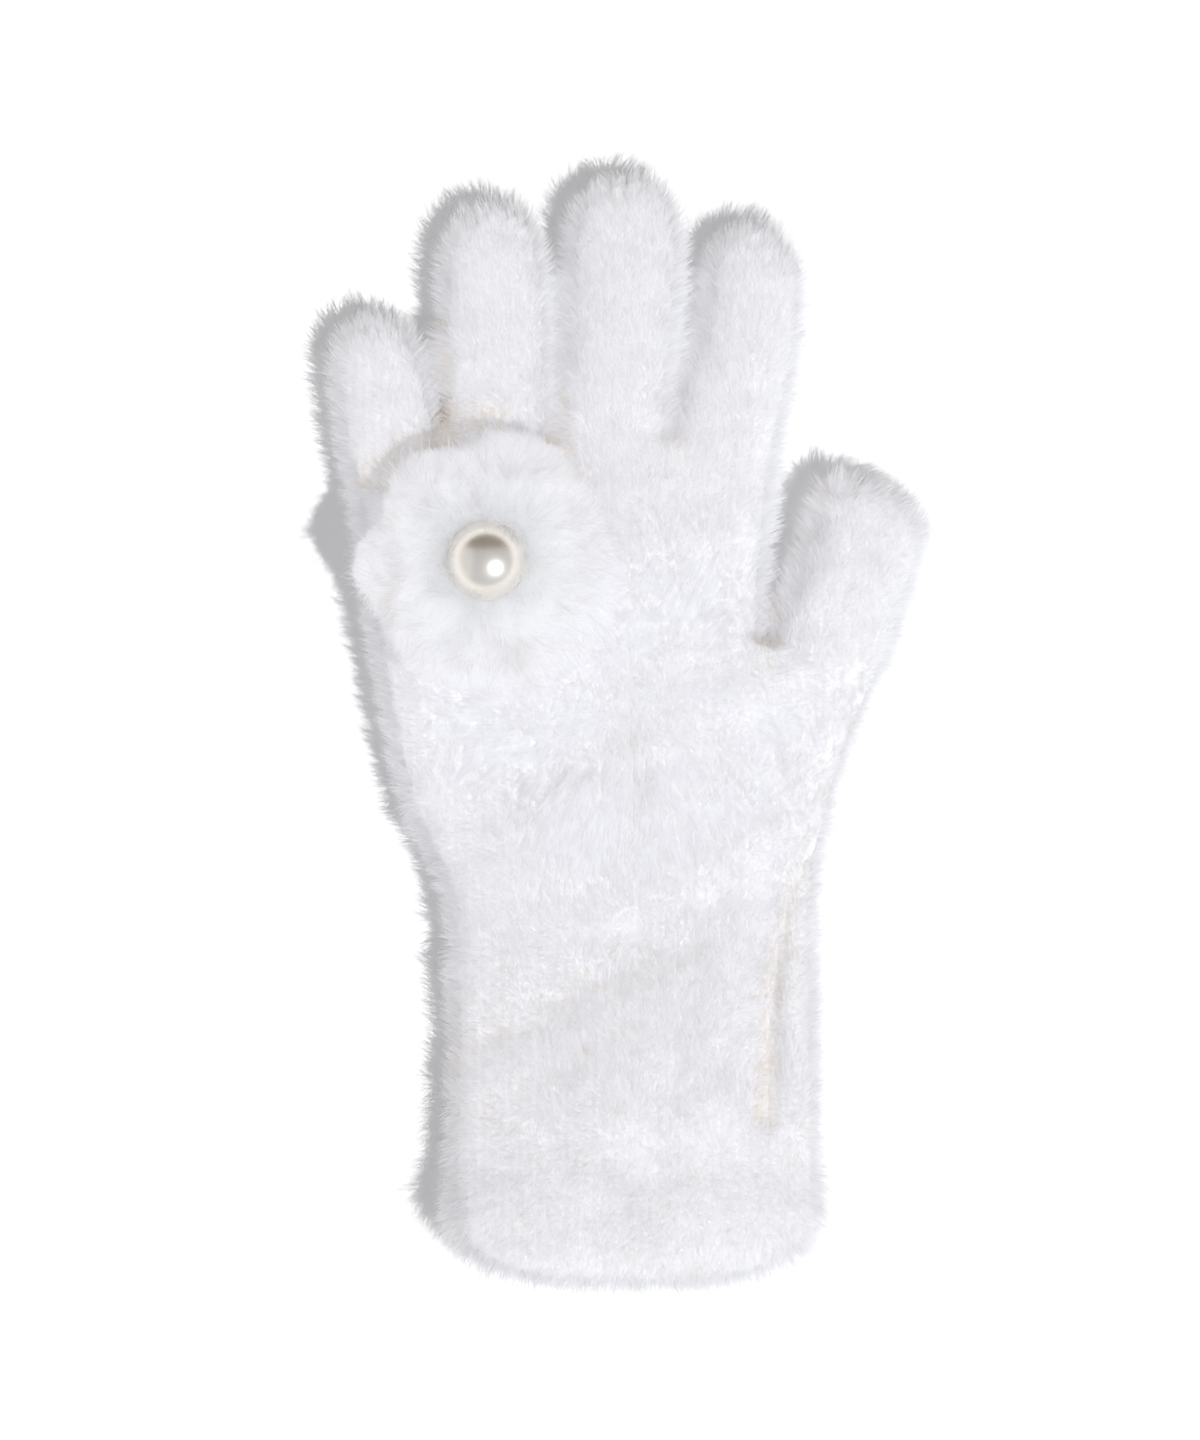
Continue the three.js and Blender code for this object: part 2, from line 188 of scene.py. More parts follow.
# The narrow gaps that the pile of both sides fills: at the thumb and between the fingers; there the
# pile's tint gets painted light, and the hair across a gap gets painted warm shade from the lines
# beside it
GAPS = (
    ((42.5, 50.8), (36.5, 35.0), (31.5, 22.0)),
    ((-15.3, 94.0), (-14.4, 64.0)),
    ((13.6, 96.5), (9.8, 66.0)),
    ((-40.2, 82.0), (-39.8, 75.0)),
)

# Between the petals and on them, where the fur is shorter and painted with warm shade
PARTINGS = (
    Parting(1.8, 0.6, ((-32.7, 49.5), (-32.7, 47.0))),
    Parting(2.0, 0.8, ((-11.5, 56.0), (-9.5, 53.5))),
    Parting(1.0, 0.3, ((-22.0, 43.0), (-5.7, 43.0))),
    Parting(1.3, 0.6, ((-42.6, 34.0), (-41.0, 34.5))),
    Parting(1.6, 0.8, ((-51.8, 27.5), (-51.8, 21.5))),
    Parting(1.2, 0.6, ((-56.4, 43.0), (-50.5, 43.0))),
    Parting(1.2, 0.7, ((-30.7, 21.0), (-24.0, 11.0), (-19.4, 9.5))),
)

# From the little finger to the thumb
TIPS = (
    Fingertip((-55.0, 90.0), (-0.2, 0.98), 3.4),
    Fingertip((-29.0, 114.6), (-0.05, 1.0), 2.8),
    Fingertip((0.5, 120.8), (0.05, 1.0), 3.2),
    Fingertip((28.5, 110.6), (0.22, 0.975), 3.8),
    Fingertip((54.5, 57.0), (0.38, 0.925), 5.4),
)


# Vectors and fields


def unit(vectors: Array) -> Array:
    """Return the vectors with length 1."""
    return vectors / np.maximum(np.linalg.norm(vectors, axis=-1, keepdims=True), 1e-12)


def ease(values: Array, low: float, high: float) -> Array:
    """Return 0 below low, 1 above high and a smooth step between."""
    share = np.clip((values - low) / (high - low), 0.0, 1.0)
    return share * share * (3.0 - 2.0 * share)


def bell(values: Array) -> Array:
    """Return 1 at 0, and less and less on both sides of it."""
    return np.exp(-(values**2))


def along_skin(ways: Array, facing: Array) -> Array:
    """Return the ways laid along a skin that faces the given way, with length 1."""
    return unit(ways - facing * np.einsum("ij,ij->i", ways, facing)[:, None])


def swell(places: Array, size: float, seed: int) -> Array:
    """Give a smooth random height for each place, the sum of nine waves.

    Args:
        places: Points, one per row.
        size: The usual distance from one swell to the next.
        seed: Picks the pattern.

    Returns:
        Heights of about -1 to 1.
    """
    rng = np.random.default_rng(seed)
    heights = np.zeros(len(places))
    waves = 9
    for _ in range(waves):
        way = unit(rng.normal(size=places.shape[1]))
        turns = 2.0 * math.pi / size * rng.uniform(0.55, 1.35)
        heights += np.sin(places @ way * turns + rng.uniform(0.0, 2.0 * math.pi))
    return heights / math.sqrt(waves)


def away_from(plan: Array, path: Path) -> Array:
    """Measure how far points on the plan are from a path.

    Args:
        plan: Points as x and y, in millimetres.
        path: The path's points, in millimetres.

    Returns:
        The distances, in millimetres.
    """
    nearest = np.full(len(plan), np.inf)
    for start, end in zip(path, path[1:]):
        a = np.array(start)
        run = np.array(end) - a
        share = np.clip((plan - a) @ run / (run @ run), 0.0, 1.0)
        gap = np.linalg.norm(plan - a - share[:, None] * run, axis=1)
        nearest = np.minimum(nearest, gap)
    return nearest


def crease_depth(places: Array) -> Array:
    """Tell how much deeper the folds lie.

    Args:
        places: Points, one per row.

    Returns:
        A depth for each place, in metres.
    """
    plan = places[:, :2] / MM
    deep = np.zeros(len(places))
    for fold in FOLDS:
        deep = np.maximum(deep, fold.depth * bell(away_from(plan, fold.path) / fold.half_width))
    return deep * MM


def bareness_and_shade(places: Array) -> Array:
    """Tell how far creases and hollows thin the pile and paint warm shade on it, on them and just
    beside them.

    Args:
        places: Points, one per row.

    Returns:
        Shares from 0 to 1.
    """
    beside = 0.9
    plan = places[:, :2] / MM
    bare_and_shade = np.zeros(len(places))
    for line in FOLDS + SHADED_LINES:
        gap = away_from(plan, line.path) / (line.half_width + beside)
        bare_and_shade = np.maximum(bare_and_shade, line.bare_and_shade * bell(gap))
    for hollow in HOLLOWS:
        gap = np.linalg.norm((plan - hollow.middle) / hollow.half_size, axis=1)
        bare_and_shade = np.maximum(bare_and_shade, hollow.bare_and_shade * (1.0 - ease(gap, 0.5, 1.5)))
    return bare_and_shade


def in_gap(places: Array) -> Array:
    """Tell how near each place is to a gap between two fingers.

    Args:
        places: Points, one per row.

    Returns:
        Shares from 0 to 1.
    """
    half_width = 3.5
    plan = places[:, :2] / MM
    near = np.min([away_from(plan, path) for path in GAPS], axis=0)
    return bell(near / half_width)


# Meshes


def mesh_object(name: str, mesh: bpy.types.Mesh) -> bpy.types.Object:
    """Put a mesh into the scene.

    Args:
        name: The object's name.
        mesh: The mesh.

    Returns:
        The object.
    """
    made = bpy.data.objects.new(name, mesh)
    bpy.context.scene.collection.objects.link(made)
    return made


def mesh_of(name: str, points: Array, faces: Array) -> bpy.types.Mesh:
    """Make a mesh from arrays.

    Args:
        name: The mesh's name.
        points: Its vertices, one per row.
        faces: Its faces, all with the same number of corners, one per row.

    Returns:
        The mesh, smooth shaded.
    """
    corners = faces.shape[1]
    mesh = bpy.data.meshes.new(name)
    mesh.vertices.add(len(points))
    mesh.vertices.foreach_set("co", points.astype(np.float32).ravel())
    mesh.loops.add(faces.size)
    mesh.loops.foreach_set("vertex_index", faces.astype(np.int32).ravel())
    mesh.polygons.add(len(faces))
    starts = np.arange(len(faces), dtype=np.int32) * corners
    mesh.polygons.foreach_set("loop_start", starts)
    mesh.polygons.foreach_set("use_smooth", np.ones(len(faces), dtype=bool))
    mesh.update(calc_edges=True)
    return mesh


def read(items: bpy.types.bpy_prop_collection, name: str, width: int, kind: type = float) -> Array:
    """Read one property of a mesh's vertices, edges or faces.

    Args:
        items: The vertices, edges or faces.
        name: The property.
        width: How many numbers it has.
        kind: The numbers' type.

    Returns:
        One row for each item.
    """
    values = np.zeros(len(items) * width, dtype=kind)
    items.foreach_get(name, values)
    return values.reshape(-1, width)


def read_points(mesh: bpy.types.Mesh) -> Array:
    """Return a mesh's vertices, one per row."""
    return read(mesh.vertices, "co", 3)


def read_normals(mesh: bpy.types.Mesh) -> Array:
    """Return a mesh's vertex normals, one per row."""
    return read(mesh.vertex_normals, "vector", 3)


def read_edges(mesh: bpy.types.Mesh) -> Array:
    """Return the vertex pairs of a mesh's edges."""
    return read(mesh.edges, "vertices", 2, np.int32)


def read_triangles(mesh: bpy.types.Mesh) -> Array:
    """Return the vertices of a mesh's triangles, one triangle per row."""
    mesh.calc_loop_triangles()
    return read(mesh.loop_triangles, "vertices", 3, np.int32)


def swollen_copy(nodes: list[str], by: float) -> tuple[Array, Array, Array]:
    """Copy the frame's solids, each grown a little so that they meet.

    Args:
        nodes: The solids' names.
        by: How far each surface moves out.

    Returns:
        The points, the triangles and each triangle's place in the list of names.
    """
    points, faces, owners = [], [], []
    base = 0
    for number, node in enumerate(nodes):
        welded = bmesh.new()
        welded.from_mesh(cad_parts[node].data)
        bmesh.ops.remove_doubles(welded, verts=welded.verts, dist=1e-6)
        bmesh.ops.triangulate(welded, faces=welded.faces)
        bmesh.ops.recalc_face_normals(welded, faces=welded.faces)
        welded.normal_update()
        welded.verts.index_update()
        points += [tuple(corner.co + corner.normal * by) for corner in welded.verts]
        faces += [[corner.index + base for corner in face.verts] for face in welded.faces]
        owners += [number] * len(welded.faces)
        base = len(points)
        welded.free()
    return np.array(points), np.array(faces), np.array(owners)


def remeshed(points: Array, faces: Array, cell: float) -> bpy.types.Mesh:
    """Join overlapping closed shapes into one even skin.

    Args:
        points: The shapes' vertices.
        faces: The shapes' triangles.
        cell: The size of the new skin's faces.

    Returns:
        The new mesh.
    """
    rough = mesh_object("rough_form", mesh_of("rough_form", points, faces))
    change = rough.modifiers.new("skin", "REMESH")
    change.mode = "VOXEL"
    change.voxel_size = cell
    ready = rough.evaluated_get(bpy.context.evaluated_depsgraph_get())
    skin = bpy.data.meshes.new_from_object(ready)
    bpy.data.objects.remove(rough)
    return skin


def relaxed(points: Array, edges: Array, rounds: int) -> Array:
    """Smooth a skin without shrinking it: each step in is followed by a slightly longer one out.

    Args:
        points: The skin's vertices.
        edges: Pairs of vertices that an edge joins.
        rounds: How often to smooth.

    Returns:
        The moved vertices.
    """
    step_in, step_out = 0.55, -0.57
    both = np.concatenate([edges, edges[:, ::-1]])
    count = np.bincount(both[:, 0], minlength=len(points))[:, None]
    for turn in range(rounds * 2):
        mean = np.stack(
            [np.bincount(both[:, 0], points[both[:, 1], k], len(points)) for k in range(3)],
            axis=1,
        )
        step = step_in if turn % 2 == 0 else step_out
        points = points + (mean / np.maximum(count, 1) - points) * step
    return points


def reshape(mesh: bpy.types.Mesh, points: Array) -> None:
    """Move a mesh's vertices and shade it smooth.

    Args:
        mesh: The mesh.
        points: The new places of its vertices.
    """
    mesh.vertices.foreach_set("co", points.astype(np.float32).ravel())
    mesh.polygons.foreach_set("use_smooth", np.ones(len(mesh.polygons), dtype=bool))
    mesh.update()


def dressed_skin(
    name: str, mesh: bpy.types.Mesh, finish: bpy.types.Material, nodes: list[str]
) -> bpy.types.Object:
    """Make a piece of a finished skin that stands for some of the frame's solids.

    Args:
        name: The piece's name.
        mesh: The skin.
        finish: Its material.
        nodes: The solids that it stands for.

    Returns:
        The piece, on its body.
    """
    mesh.materials.clear()
    mesh.materials.append(finish)
    mesh.name = name
    made = mesh_object(name, mesh)
    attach(made, BODY)
    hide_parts(*nodes)
    return made


# Finishes


@dataclass
class NodeBoard:
    """A material's nodes, laid out as they are asked for."""

    name: str
    material: bpy.types.Material = field(init=False)
    shader: bpy.types.Node = field(init=False)
    output: bpy.types.Node = field(init=False)

    def __post_init__(self) -> None:
        """Make the material with one shader."""
        self.material = bpy.data.materials.new(self.name)
        self.material.use_nodes = True
        self.shader = self.material.node_tree.nodes["Principled BSDF"]
        self.output = self.material.node_tree.nodes["Material Output"]

    def add(self, kind: str, **settings: object) -> bpy.types.Node:
        """Add a node.

        Args:
            kind: The node's type.
            **settings: Values for its properties, or for its inputs by name, with _ for a space.

        Returns:
            The node.
        """
        made = self.material.node_tree.nodes.new(kind)
        for key, value in settings.items():
            if key in made.bl_rna.properties:
                setattr(made, key, value)
            else:
                made.inputs[key.replace("_", " ")].default_value = value
        return made

    def join(self, source: bpy.types.NodeSocket, target: bpy.types.NodeSocket) -> None:
        """Link an output to an input."""
        self.material.node_tree.links.new(source, target)

    def ramp(
        self,
        source: bpy.types.NodeSocket,
        stops: tuple[tuple[float, Colour], ...],
    ) -> bpy.types.NodeSocket:
        """Turn a value into a colour.

        Args:
            source: The value's output.
            stops: Places from 0 to 1, each with its colour.

        Returns:
            The colour's output.
        """
        made = self.add("ShaderNodeValToRGB")
        line = made.color_ramp
        while len(line.elements) < len(stops):
            line.elements.new(0.5)
        for stop, (place, colour) in zip(line.elements, stops):
            stop.position = place
            stop.color = (*colour, 1.0)
        self.join(source, made.inputs["Fac"])
        return made.outputs["Color"]

    def product(
        self, first: bpy.types.NodeSocket, second: bpy.types.NodeSocket
    ) -> bpy.types.NodeSocket:
        """Multiply two colours.

        Args:
            first: The one colour's output.
            second: The other colour's output.

        Returns:
            The product's output.
        """
        made = self.add("ShaderNodeMix", data_type="RGBA", blend_type="MULTIPLY")
        made.inputs[0].default_value = 1.0
        self.join(first, made.inputs[6])
        self.join(second, made.inputs[7])
        return made.outputs[2]

    def constants(self, **values: float) -> None:
        """Set the shader's own values, by their names with _ for a space."""
        for key, value in values.items():
            self.shader.inputs[key.replace("_", " ")].default_value = value


@dataclass(frozen=True)
class KnitFinish:
    """The knit under the pile: upright wales of small stitches, warmer between them."""

    name: str = "knit"
    wale: float = WALE
    course: float = COURSE
    relief: float = 0.2 * MM
    thread: Colour = (0.88, 0.885, 0.905)
    gap: Colour = (0.83, 0.825, 0.835)
    between_courses: float = 0.6
    fuzz: float = 0.35

    def make(self) -> bpy.types.Material:
        """Build the material.

        Returns:
            The material.
        """
        board = NodeBoard(self.name)
        place = board.add("ShaderNodeTexCoord").outputs["Object"]
        wales = board.add(
            "ShaderNodeTexWave",
            bands_direction="X",
            wave_profile="SIN",
            Scale=WAVE_LENGTH / self.wale,
            Distortion=0.6,
            Detail_Scale=40.0,
        )
        courses = board.add(
            "ShaderNodeTexWave",
            bands_direction="Y",
            wave_profile="SIN",
            Scale=WAVE_LENGTH / self.course,
            Distortion=2.0,
            Detail_Scale=60.0,
        )
        fuzz = board.add("ShaderNodeTexNoise", Scale=900.0, Detail=3.0)
        for pattern in (wales, courses, fuzz):
            board.join(place, pattern.inputs["Vector"])
        rows = board.add("ShaderNodeMapRange", To_Min=self.between_courses)
        board.join(courses.outputs["Fac"], rows.inputs["Value"])
        stitches = board.add("ShaderNodeMath", operation="MULTIPLY")
        board.join(wales.outputs["Fac"], stitches.inputs[0])
        board.join(rows.outputs["Result"], stitches.inputs[1])
        height = board.add("ShaderNodeMath", operation="MULTIPLY_ADD")
        height.inputs[1].default_value = self.fuzz
        board.join(fuzz.outputs["Fac"], height.inputs[0])
        board.join(stitches.outputs[0], height.inputs[2])
        colour = board.ramp(height.outputs[0], ((0.05, self.gap), (0.75, self.thread)))
        board.join(colour, board.shader.inputs["Base Color"])
        bump = board.add("ShaderNodeBump", Strength=0.8, Distance=self.relief)
        board.join(height.outputs[0], bump.inputs["Height"])
        board.join(bump.outputs["Normal"], board.shader.inputs["Normal"])
        board.constants(Roughness=0.95, Sheen_Weight=0.2, Sheen_Roughness=0.5)
        return board.material


@dataclass(frozen=True)
class HairFinish:
    """Hair whose colour runs from a darker root, painted shade deep in the pile, to the tip, with a
    tint of its own for each hair.

    A hair's place along the map's width holds its tint, and its height runs from root to tip.
    Part of the light passes through it.
    """

    name: str
    # The colour at tint 0 is painted warm shade in hollows, creases and partings
    warm_shade: Colour
    dull: Colour
    plain: Colour
    bright: Colour
    # The root's colour, darker than the tip's, is painted shade deep in the pile
    root: Colour
    tip: Colour = (1.0, 1.0, 1.0)
    root_roughness: float = 0.95
    tip_roughness: float = 0.7
    sheen: float = 0.1
    passes: float = 0.35

    def make(self) -> bpy.types.Material:
        """Build the material.

        Returns:
            The material.
        """
        board = NodeBoard(self.name)
        place = board.add("ShaderNodeUVMap", uv_map=HAIR_MAP)
        split = board.add("ShaderNodeSeparateXYZ")
        board.join(place.outputs["UV"], split.inputs["Vector"])
        tints = ((0.0, self.warm_shade), (DULL, self.dull), (PLAIN, self.plain), (1.0, self.bright))
        tint = board.ramp(split.outputs["X"], tints)
        # Darker towards the root: painted shade deep in the pile
        along = board.ramp(split.outputs["Y"], ((0.0, self.root), (0.7, self.tip)))
        colour = board.product(tint, along)
        board.join(colour, board.shader.inputs["Base Color"])
        rough = board.add("ShaderNodeMapRange", To_Min=self.root_roughness, To_Max=self.tip_roughness)
        board.join(split.outputs["Y"], rough.inputs["Value"])
        board.join(rough.outputs["Result"], board.shader.inputs["Roughness"])
        board.constants(Sheen_Weight=self.sheen, Sheen_Roughness=0.4, Specular_IOR_Level=0.3)
        glow = board.add("ShaderNodeBsdfTranslucent")
        board.join(colour, glow.inputs["Color"])
        blend = board.add("ShaderNodeMixShader", Fac=self.passes)
        board.join(board.shader.outputs["BSDF"], blend.inputs[1])
        board.join(glow.outputs["BSDF"], blend.inputs[2])
        board.join(blend.outputs["Shader"], board.output.inputs["Surface"])
        return board.material


@dataclass(frozen=True)
class PearlFinish:
    """Ivory pearl lustre: glossy, half metallic, faintly clouded."""

    name: str = "pearl"
    light: Colour = (0.97, 0.94, 0.88)
    deep: Colour = (0.93, 0.89, 0.81)
    metal: float = 0.88
    smooth: float = 0.24
    rough: float = 0.32

    def make(self) -> bpy.types.Material:
        """Build the material.

        Returns:
            The material.
        """
        board = NodeBoard(self.name)
        place = board.add("ShaderNodeTexCoord").outputs["Object"]
        cloud = board.add("ShaderNodeTexNoise", Scale=160.0, Detail=2.0)
        board.join(place, cloud.inputs["Vector"])
        colour = board.ramp(cloud.outputs["Fac"], ((0.3, self.deep), (0.7, self.light)))
        board.join(colour, board.shader.inputs["Base Color"])
        rough = board.add("ShaderNodeMapRange", To_Min=self.smooth, To_Max=self.rough)
        board.join(cloud.outputs["Fac"], rough.inputs["Value"])
        board.join(rough.outputs["Result"], board.shader.inputs["Roughness"])
        grain = board.add("ShaderNodeTexNoise", Scale=2500.0, Detail=1.0)
        board.join(place, grain.inputs["Vector"])
        bump = board.add("ShaderNodeBump", Strength=0.03, Distance=0.05 * MM)
        board.join(grain.outputs["Fac"], bump.inputs["Height"])
        board.join(bump.outputs["Normal"], board.shader.inputs["Normal"])
        board.constants(Metallic=self.metal, Coat_Weight=0.4, Coat_Roughness=0.14)
        return board.material


@dataclass(frozen=True)
class PaperFinish:
    """Plain white paper."""

    name: str = "paper"
    white: Colour = (0.95, 0.95, 0.95)

    def make(self) -> bpy.types.Material:
        """Build the material.

        Returns:
            The material.
        """
        board = NodeBoard(self.name)
        board.shader.inputs["Base Color"].default_value = (*self.white, 1.0)
        board.constants(Roughness=1.0, Specular_IOR_Level=0.0)
        return board.material


# Hair


@dataclass(frozen=True)
class Coat:
    """One kind of hair.

    It tells how many hairs stand on a square millimetre, how long and wide each is and in how many
    parts it bends, and how far the lengths vary. The hairs stand up by an angle in degrees. Tufts of
    the given width pull their tips together and differ in tone.
    """

    per_mm2: float
    length: float
    width: float
    varies: float
    parts: int = 1
    stand: float = 34.0
    tuft: float = 1.6 * MM
    pull: float = 0.5
    tone: float = 0.14


@dataclass
class Roots:
    """Places on a skin that hairs grow from."""

    place: Array
    facing: Array

    def kept(self, which: Array) -> "Roots":
        """Return only some of the roots."""
        return Roots(self.place[which], self.facing[which])


@dataclass
class Skin:
    """A skin's triangles: their corners, the normals there, and the part that each belongs to."""

    corners: Array
    normals: Array
    part: Array

    def sown(self, part: int, per_mm2: float, rng: np.random.Generator) -> Roots:
        """Scatter roots evenly over one part.

        Args:
            part: The part's number.
            per_mm2: Roots to a square millimetre.
            rng: The source of random numbers.

        Returns:
            The roots.
        """
        which = np.flatnonzero(self.part == part)
        corners, normals = self.corners[which], self.normals[which]
        sides = np.cross(corners[:, 1] - corners[:, 0], corners[:, 2] - corners[:, 0])
        areas = np.linalg.norm(sides, axis=1) / 2.0
        reach = np.cumsum(areas)
        count = int(reach[-1] / MM**2 * per_mm2)
        spots = (np.arange(count) + rng.random(count)) / count * reach[-1]
        pick = np.minimum(np.searchsorted(reach, spots), len(which) - 1)
        u, v = rng.random(count), rng.random(count)
        over = u + v > 1.0
        u[over], v[over] = 1.0 - u[over], 1.0 - v[over]
        shares = np.stack([1.0 - u - v, u, v], axis=1)[:, :, None]
        place = (corners[pick] * shares).sum(axis=1)
        facing = unit((normals[pick] * shares).sum(axis=1))
        return Roots(place, facing)


@dataclass
class Hairs:
    """Hairs as narrow blades that run through knots, each with width, facing and tint.

    The facing is the way that a hair's shading looks: the skin's own way, or nearer to the sky.
    """

    knots: Array
    facing: Array
    width: Array
    tint: Array

    # How deep the roots sit, how much ahead of its knots a hair bends, in parts, how much the
    # widths differ, and how much narrower a blade ends
    sunk: ClassVar[float] = 0.15 * MM
    ahead: ClassVar[float] = 0.3
    width_range: ClassVar[Span] = (0.75, 1.25)
    narrowing: ClassVar[float] = 0.4

    # How far the tufts' borders wander and over what length, in tufts, how firmly tufts and the
    # hairs in them hold together, and how much more of the pull comes at a hair's end
    wander: ClassVar[float] = 0.7
    wander_size: ClassVar[float] = 2.6
    tuft_hold: ClassVar[Span] = (0.4, 1.3)
    hair_hold: ClassVar[Span] = (0.6, 1.0)
    bow: ClassVar[float] = 1.6

    # How far a blade faces its own way and the sky, how much it rolls, and how much that shades it
    own_facing: ClassVar[float] = 0.5
    to_sky: ClassVar[float] = 0.6
    roll: ClassVar[float] = 0.4
    roll_shows: ClassVar[float] = 0.15

    # How high on the hair map a hair's root and tip lie
    map_span: ClassVar[Span] = (0.02, 0.98)

    # Large primes that turn a cell's three numbers into one key
    cell_primes: ClassVar[tuple[int, int, int]] = (73856093, 19349663, 83492791)

    @classmethod
    def bent(
        cls,
        roots: Roots,
        ways: tuple[Array, Array],
        length: Array,
        coat: Coat,
        tint: Array,
        rng: np.random.Generator,
    ) -> "Hairs":
        """Grow hairs that turn evenly from a first way to a last one.

        Args:
            roots: Where they grow.
            ways: Their way at the root and at the tip.
            length: Their lengths.
            coat: Their kind.
            tint: Their tints.
            rng: The source of random numbers.

        Returns:
            The hairs.
        """
        first, last = ways
        knots = [roots.place - roots.facing * cls.sunk]
        for part in range(coat.parts):
            turn = (part + cls.ahead) / coat.parts if part else 0.0
            way = unit(first * (1.0 - turn) + last * turn)
            knots.append(knots[-1] + way * (length / coat.parts)[:, None])
        width = coat.width * rng.uniform(*cls.width_range, len(length))
        return cls(np.stack(knots, axis=1), roots.facing, width, np.clip(tint, 0.0, BRIGHTEST))

    def gather(self, size: float, pull: float | Array, sway: float, tone: float, seed: int) -> None:
        """Draw the tips of neighbouring hairs together into small tufts.

        Args:
            size: The width of a tuft.
            pull: How far the tips move towards the tuft's point, 0 to 1.
            sway: How far a tuft's point lies from where its hairs lead.
            tone: How much the tufts' tints and facings differ.
            seed: Picks the tufts.
        """
        rng = np.random.default_rng(seed)
        root, tip = self.knots[:, 0], self.knots[:, -1]
        borders = size * self.wander_size
        shift = [swell(root, borders, seed + 11 * k) * size * self.wander for k in range(3)]
        cell = np.floor((root + np.stack(shift, axis=1)) / size).astype(np.int64)
        mixed = [cell[:, k] * prime for k, prime in enumerate(self.cell_primes)]
        _, tuft = np.unique(mixed[0] ^ mixed[1] ^ mixed[2], return_inverse=True)
        count = np.bincount(tuft)
        point = np.stack([np.bincount(tuft, tip[:, k]) / count for k in range(3)], axis=1)
        point += rng.normal(0.0, sway, point.shape)
        strength = rng.uniform(*self.tuft_hold, len(count)).clip(0.0, 1.0)
        share = (pull * strength[tuft] * rng.uniform(*self.hair_hold, len(tuft)))[:, None]
        move = (point[tuft] - tip) * share
        last = self.knots.shape[1] - 1
        for knot in range(1, last + 1):
            self.knots[:, knot] += move * (knot / last) ** self.bow
        self.tint = np.clip(self.tint + rng.normal(0.0, tone, len(count))[tuft], 0.0, BRIGHTEST)
        self.facing = unit(self.facing + rng.normal(0.0, tone, (len(count), 3))[tuft])

    def keep_above(self, floor: float) -> None:
        """Lift every knot but the root to a height at least."""
        self.knots[:, 1:, 2] = np.maximum(self.knots[:, 1:, 2], floor)

    def arrays(self, rng: np.random.Generator) -> tuple[Array, Array, Array, Array]:
        """Turn the hairs into triangles that all face the sky.

        Args:
            rng: The source of random numbers.

        Returns:
            Points, triangles, point normals and map places.
        """
        count, knots = self.knots.shape[:2]
        way = unit(self.knots[:, -1] - self.knots[:, 0])
        rough = unit(np.cross(way, unit(rng.normal(size=way.shape))))
        lifted = unit(self.facing * self.own_facing + UP * self.to_sky)
        flat = unit(np.cross(way, lifted) + rough * self.roll)
        side = flat * self.width[:, None] / 2.0
        slope = unit(np.cross(flat, way))
        slope *= np.where(slope[:, 2:] < 0.0, -1.0, 1.0)
        shown = unit(lifted + self.roll_shows * slope)
        low, high = self.map_span
        left = (self.tint * (MAP_WIDTH - 2.0 * MAP_MARGIN) + MAP_MARGIN) / MAP_WIDTH
        points, spots, pattern = [], [], []
        for knot in range(knots - 1):
            along = knot / (knots - 1)
            edge = side * (1.0 - self.narrowing * along)
            points += [self.knots[:, knot] - edge, self.knots[:, knot] + edge]
            height = np.full(count, low + (high - low) * along)
            right = left + 1.0 / MAP_WIDTH
            spots += [np.stack([left, height], 1), np.stack([right, height], 1)]
            a = 2 * knot
            if knot < knots - 2:
                pattern += [[a, a + 1, a + 3], [a, a + 3, a + 2]]
            else:
                pattern.append([a, a + 1, a + 2])
        points.append(self.knots[:, -1])
        spots.append(np.stack([left + 0.5 / MAP_WIDTH, np.full(count, high)], 1))
        per = len(points)
        faces = (np.arange(count)[:, None, None] * per + np.array(pattern)[None]).reshape(-1, 3)
        places = np.stack(points, axis=1).reshape(-1, 3)
        a, b, c = (places[faces[:, corner]] for corner in range(3))
        turned = np.cross(b - a, c - a)[:, 2] < 0.0
        faces[turned] = faces[turned][:, ::-1]
        return (
            places,
            faces,
            np.repeat(shown, per, axis=0),
            np.stack(spots, axis=1).reshape(-1, 2),
        )


def hair_object(
    name: str, coats: list[Hairs], finish: bpy.types.Material, seed: int
) -> bpy.types.Object:
    """Join several coats of hair into one piece.

    Args:
        name: The piece's name.
        coats: The hairs.
        finish: Their material.
        seed: Turns each hair's blade.

    Returns:
        The piece, on its body.
    """
    rng = np.random.default_rng(seed)
    points, faces, normals, places = [], [], [], []
    base = 0
    for coat in coats:
        coat_points, coat_faces, coat_normals, coat_places = coat.arrays(rng)
        points.append(coat_points)
        faces.append(coat_faces + base)
        normals.append(coat_normals)
        places.append(coat_places)
        base += len(coat_points)
    all_faces = np.concatenate(faces)
    mesh = mesh_of(name, np.concatenate(points), all_faces)
    lean = mesh.attributes.new("custom_normal", "FLOAT_VECTOR", "POINT")
    lean.data.foreach_set("vector", np.concatenate(normals).astype(np.float32).ravel())
    hair_map = mesh.uv_layers.new(name=HAIR_MAP)
    spots = np.concatenate(places)[all_faces.ravel()]
    hair_map.uv.foreach_set("vector", spots.astype(np.float32).ravel())
    mesh.materials.append(finish)
    made = mesh_object(name, mesh)
    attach(made, BODY)
    return made


# The glove


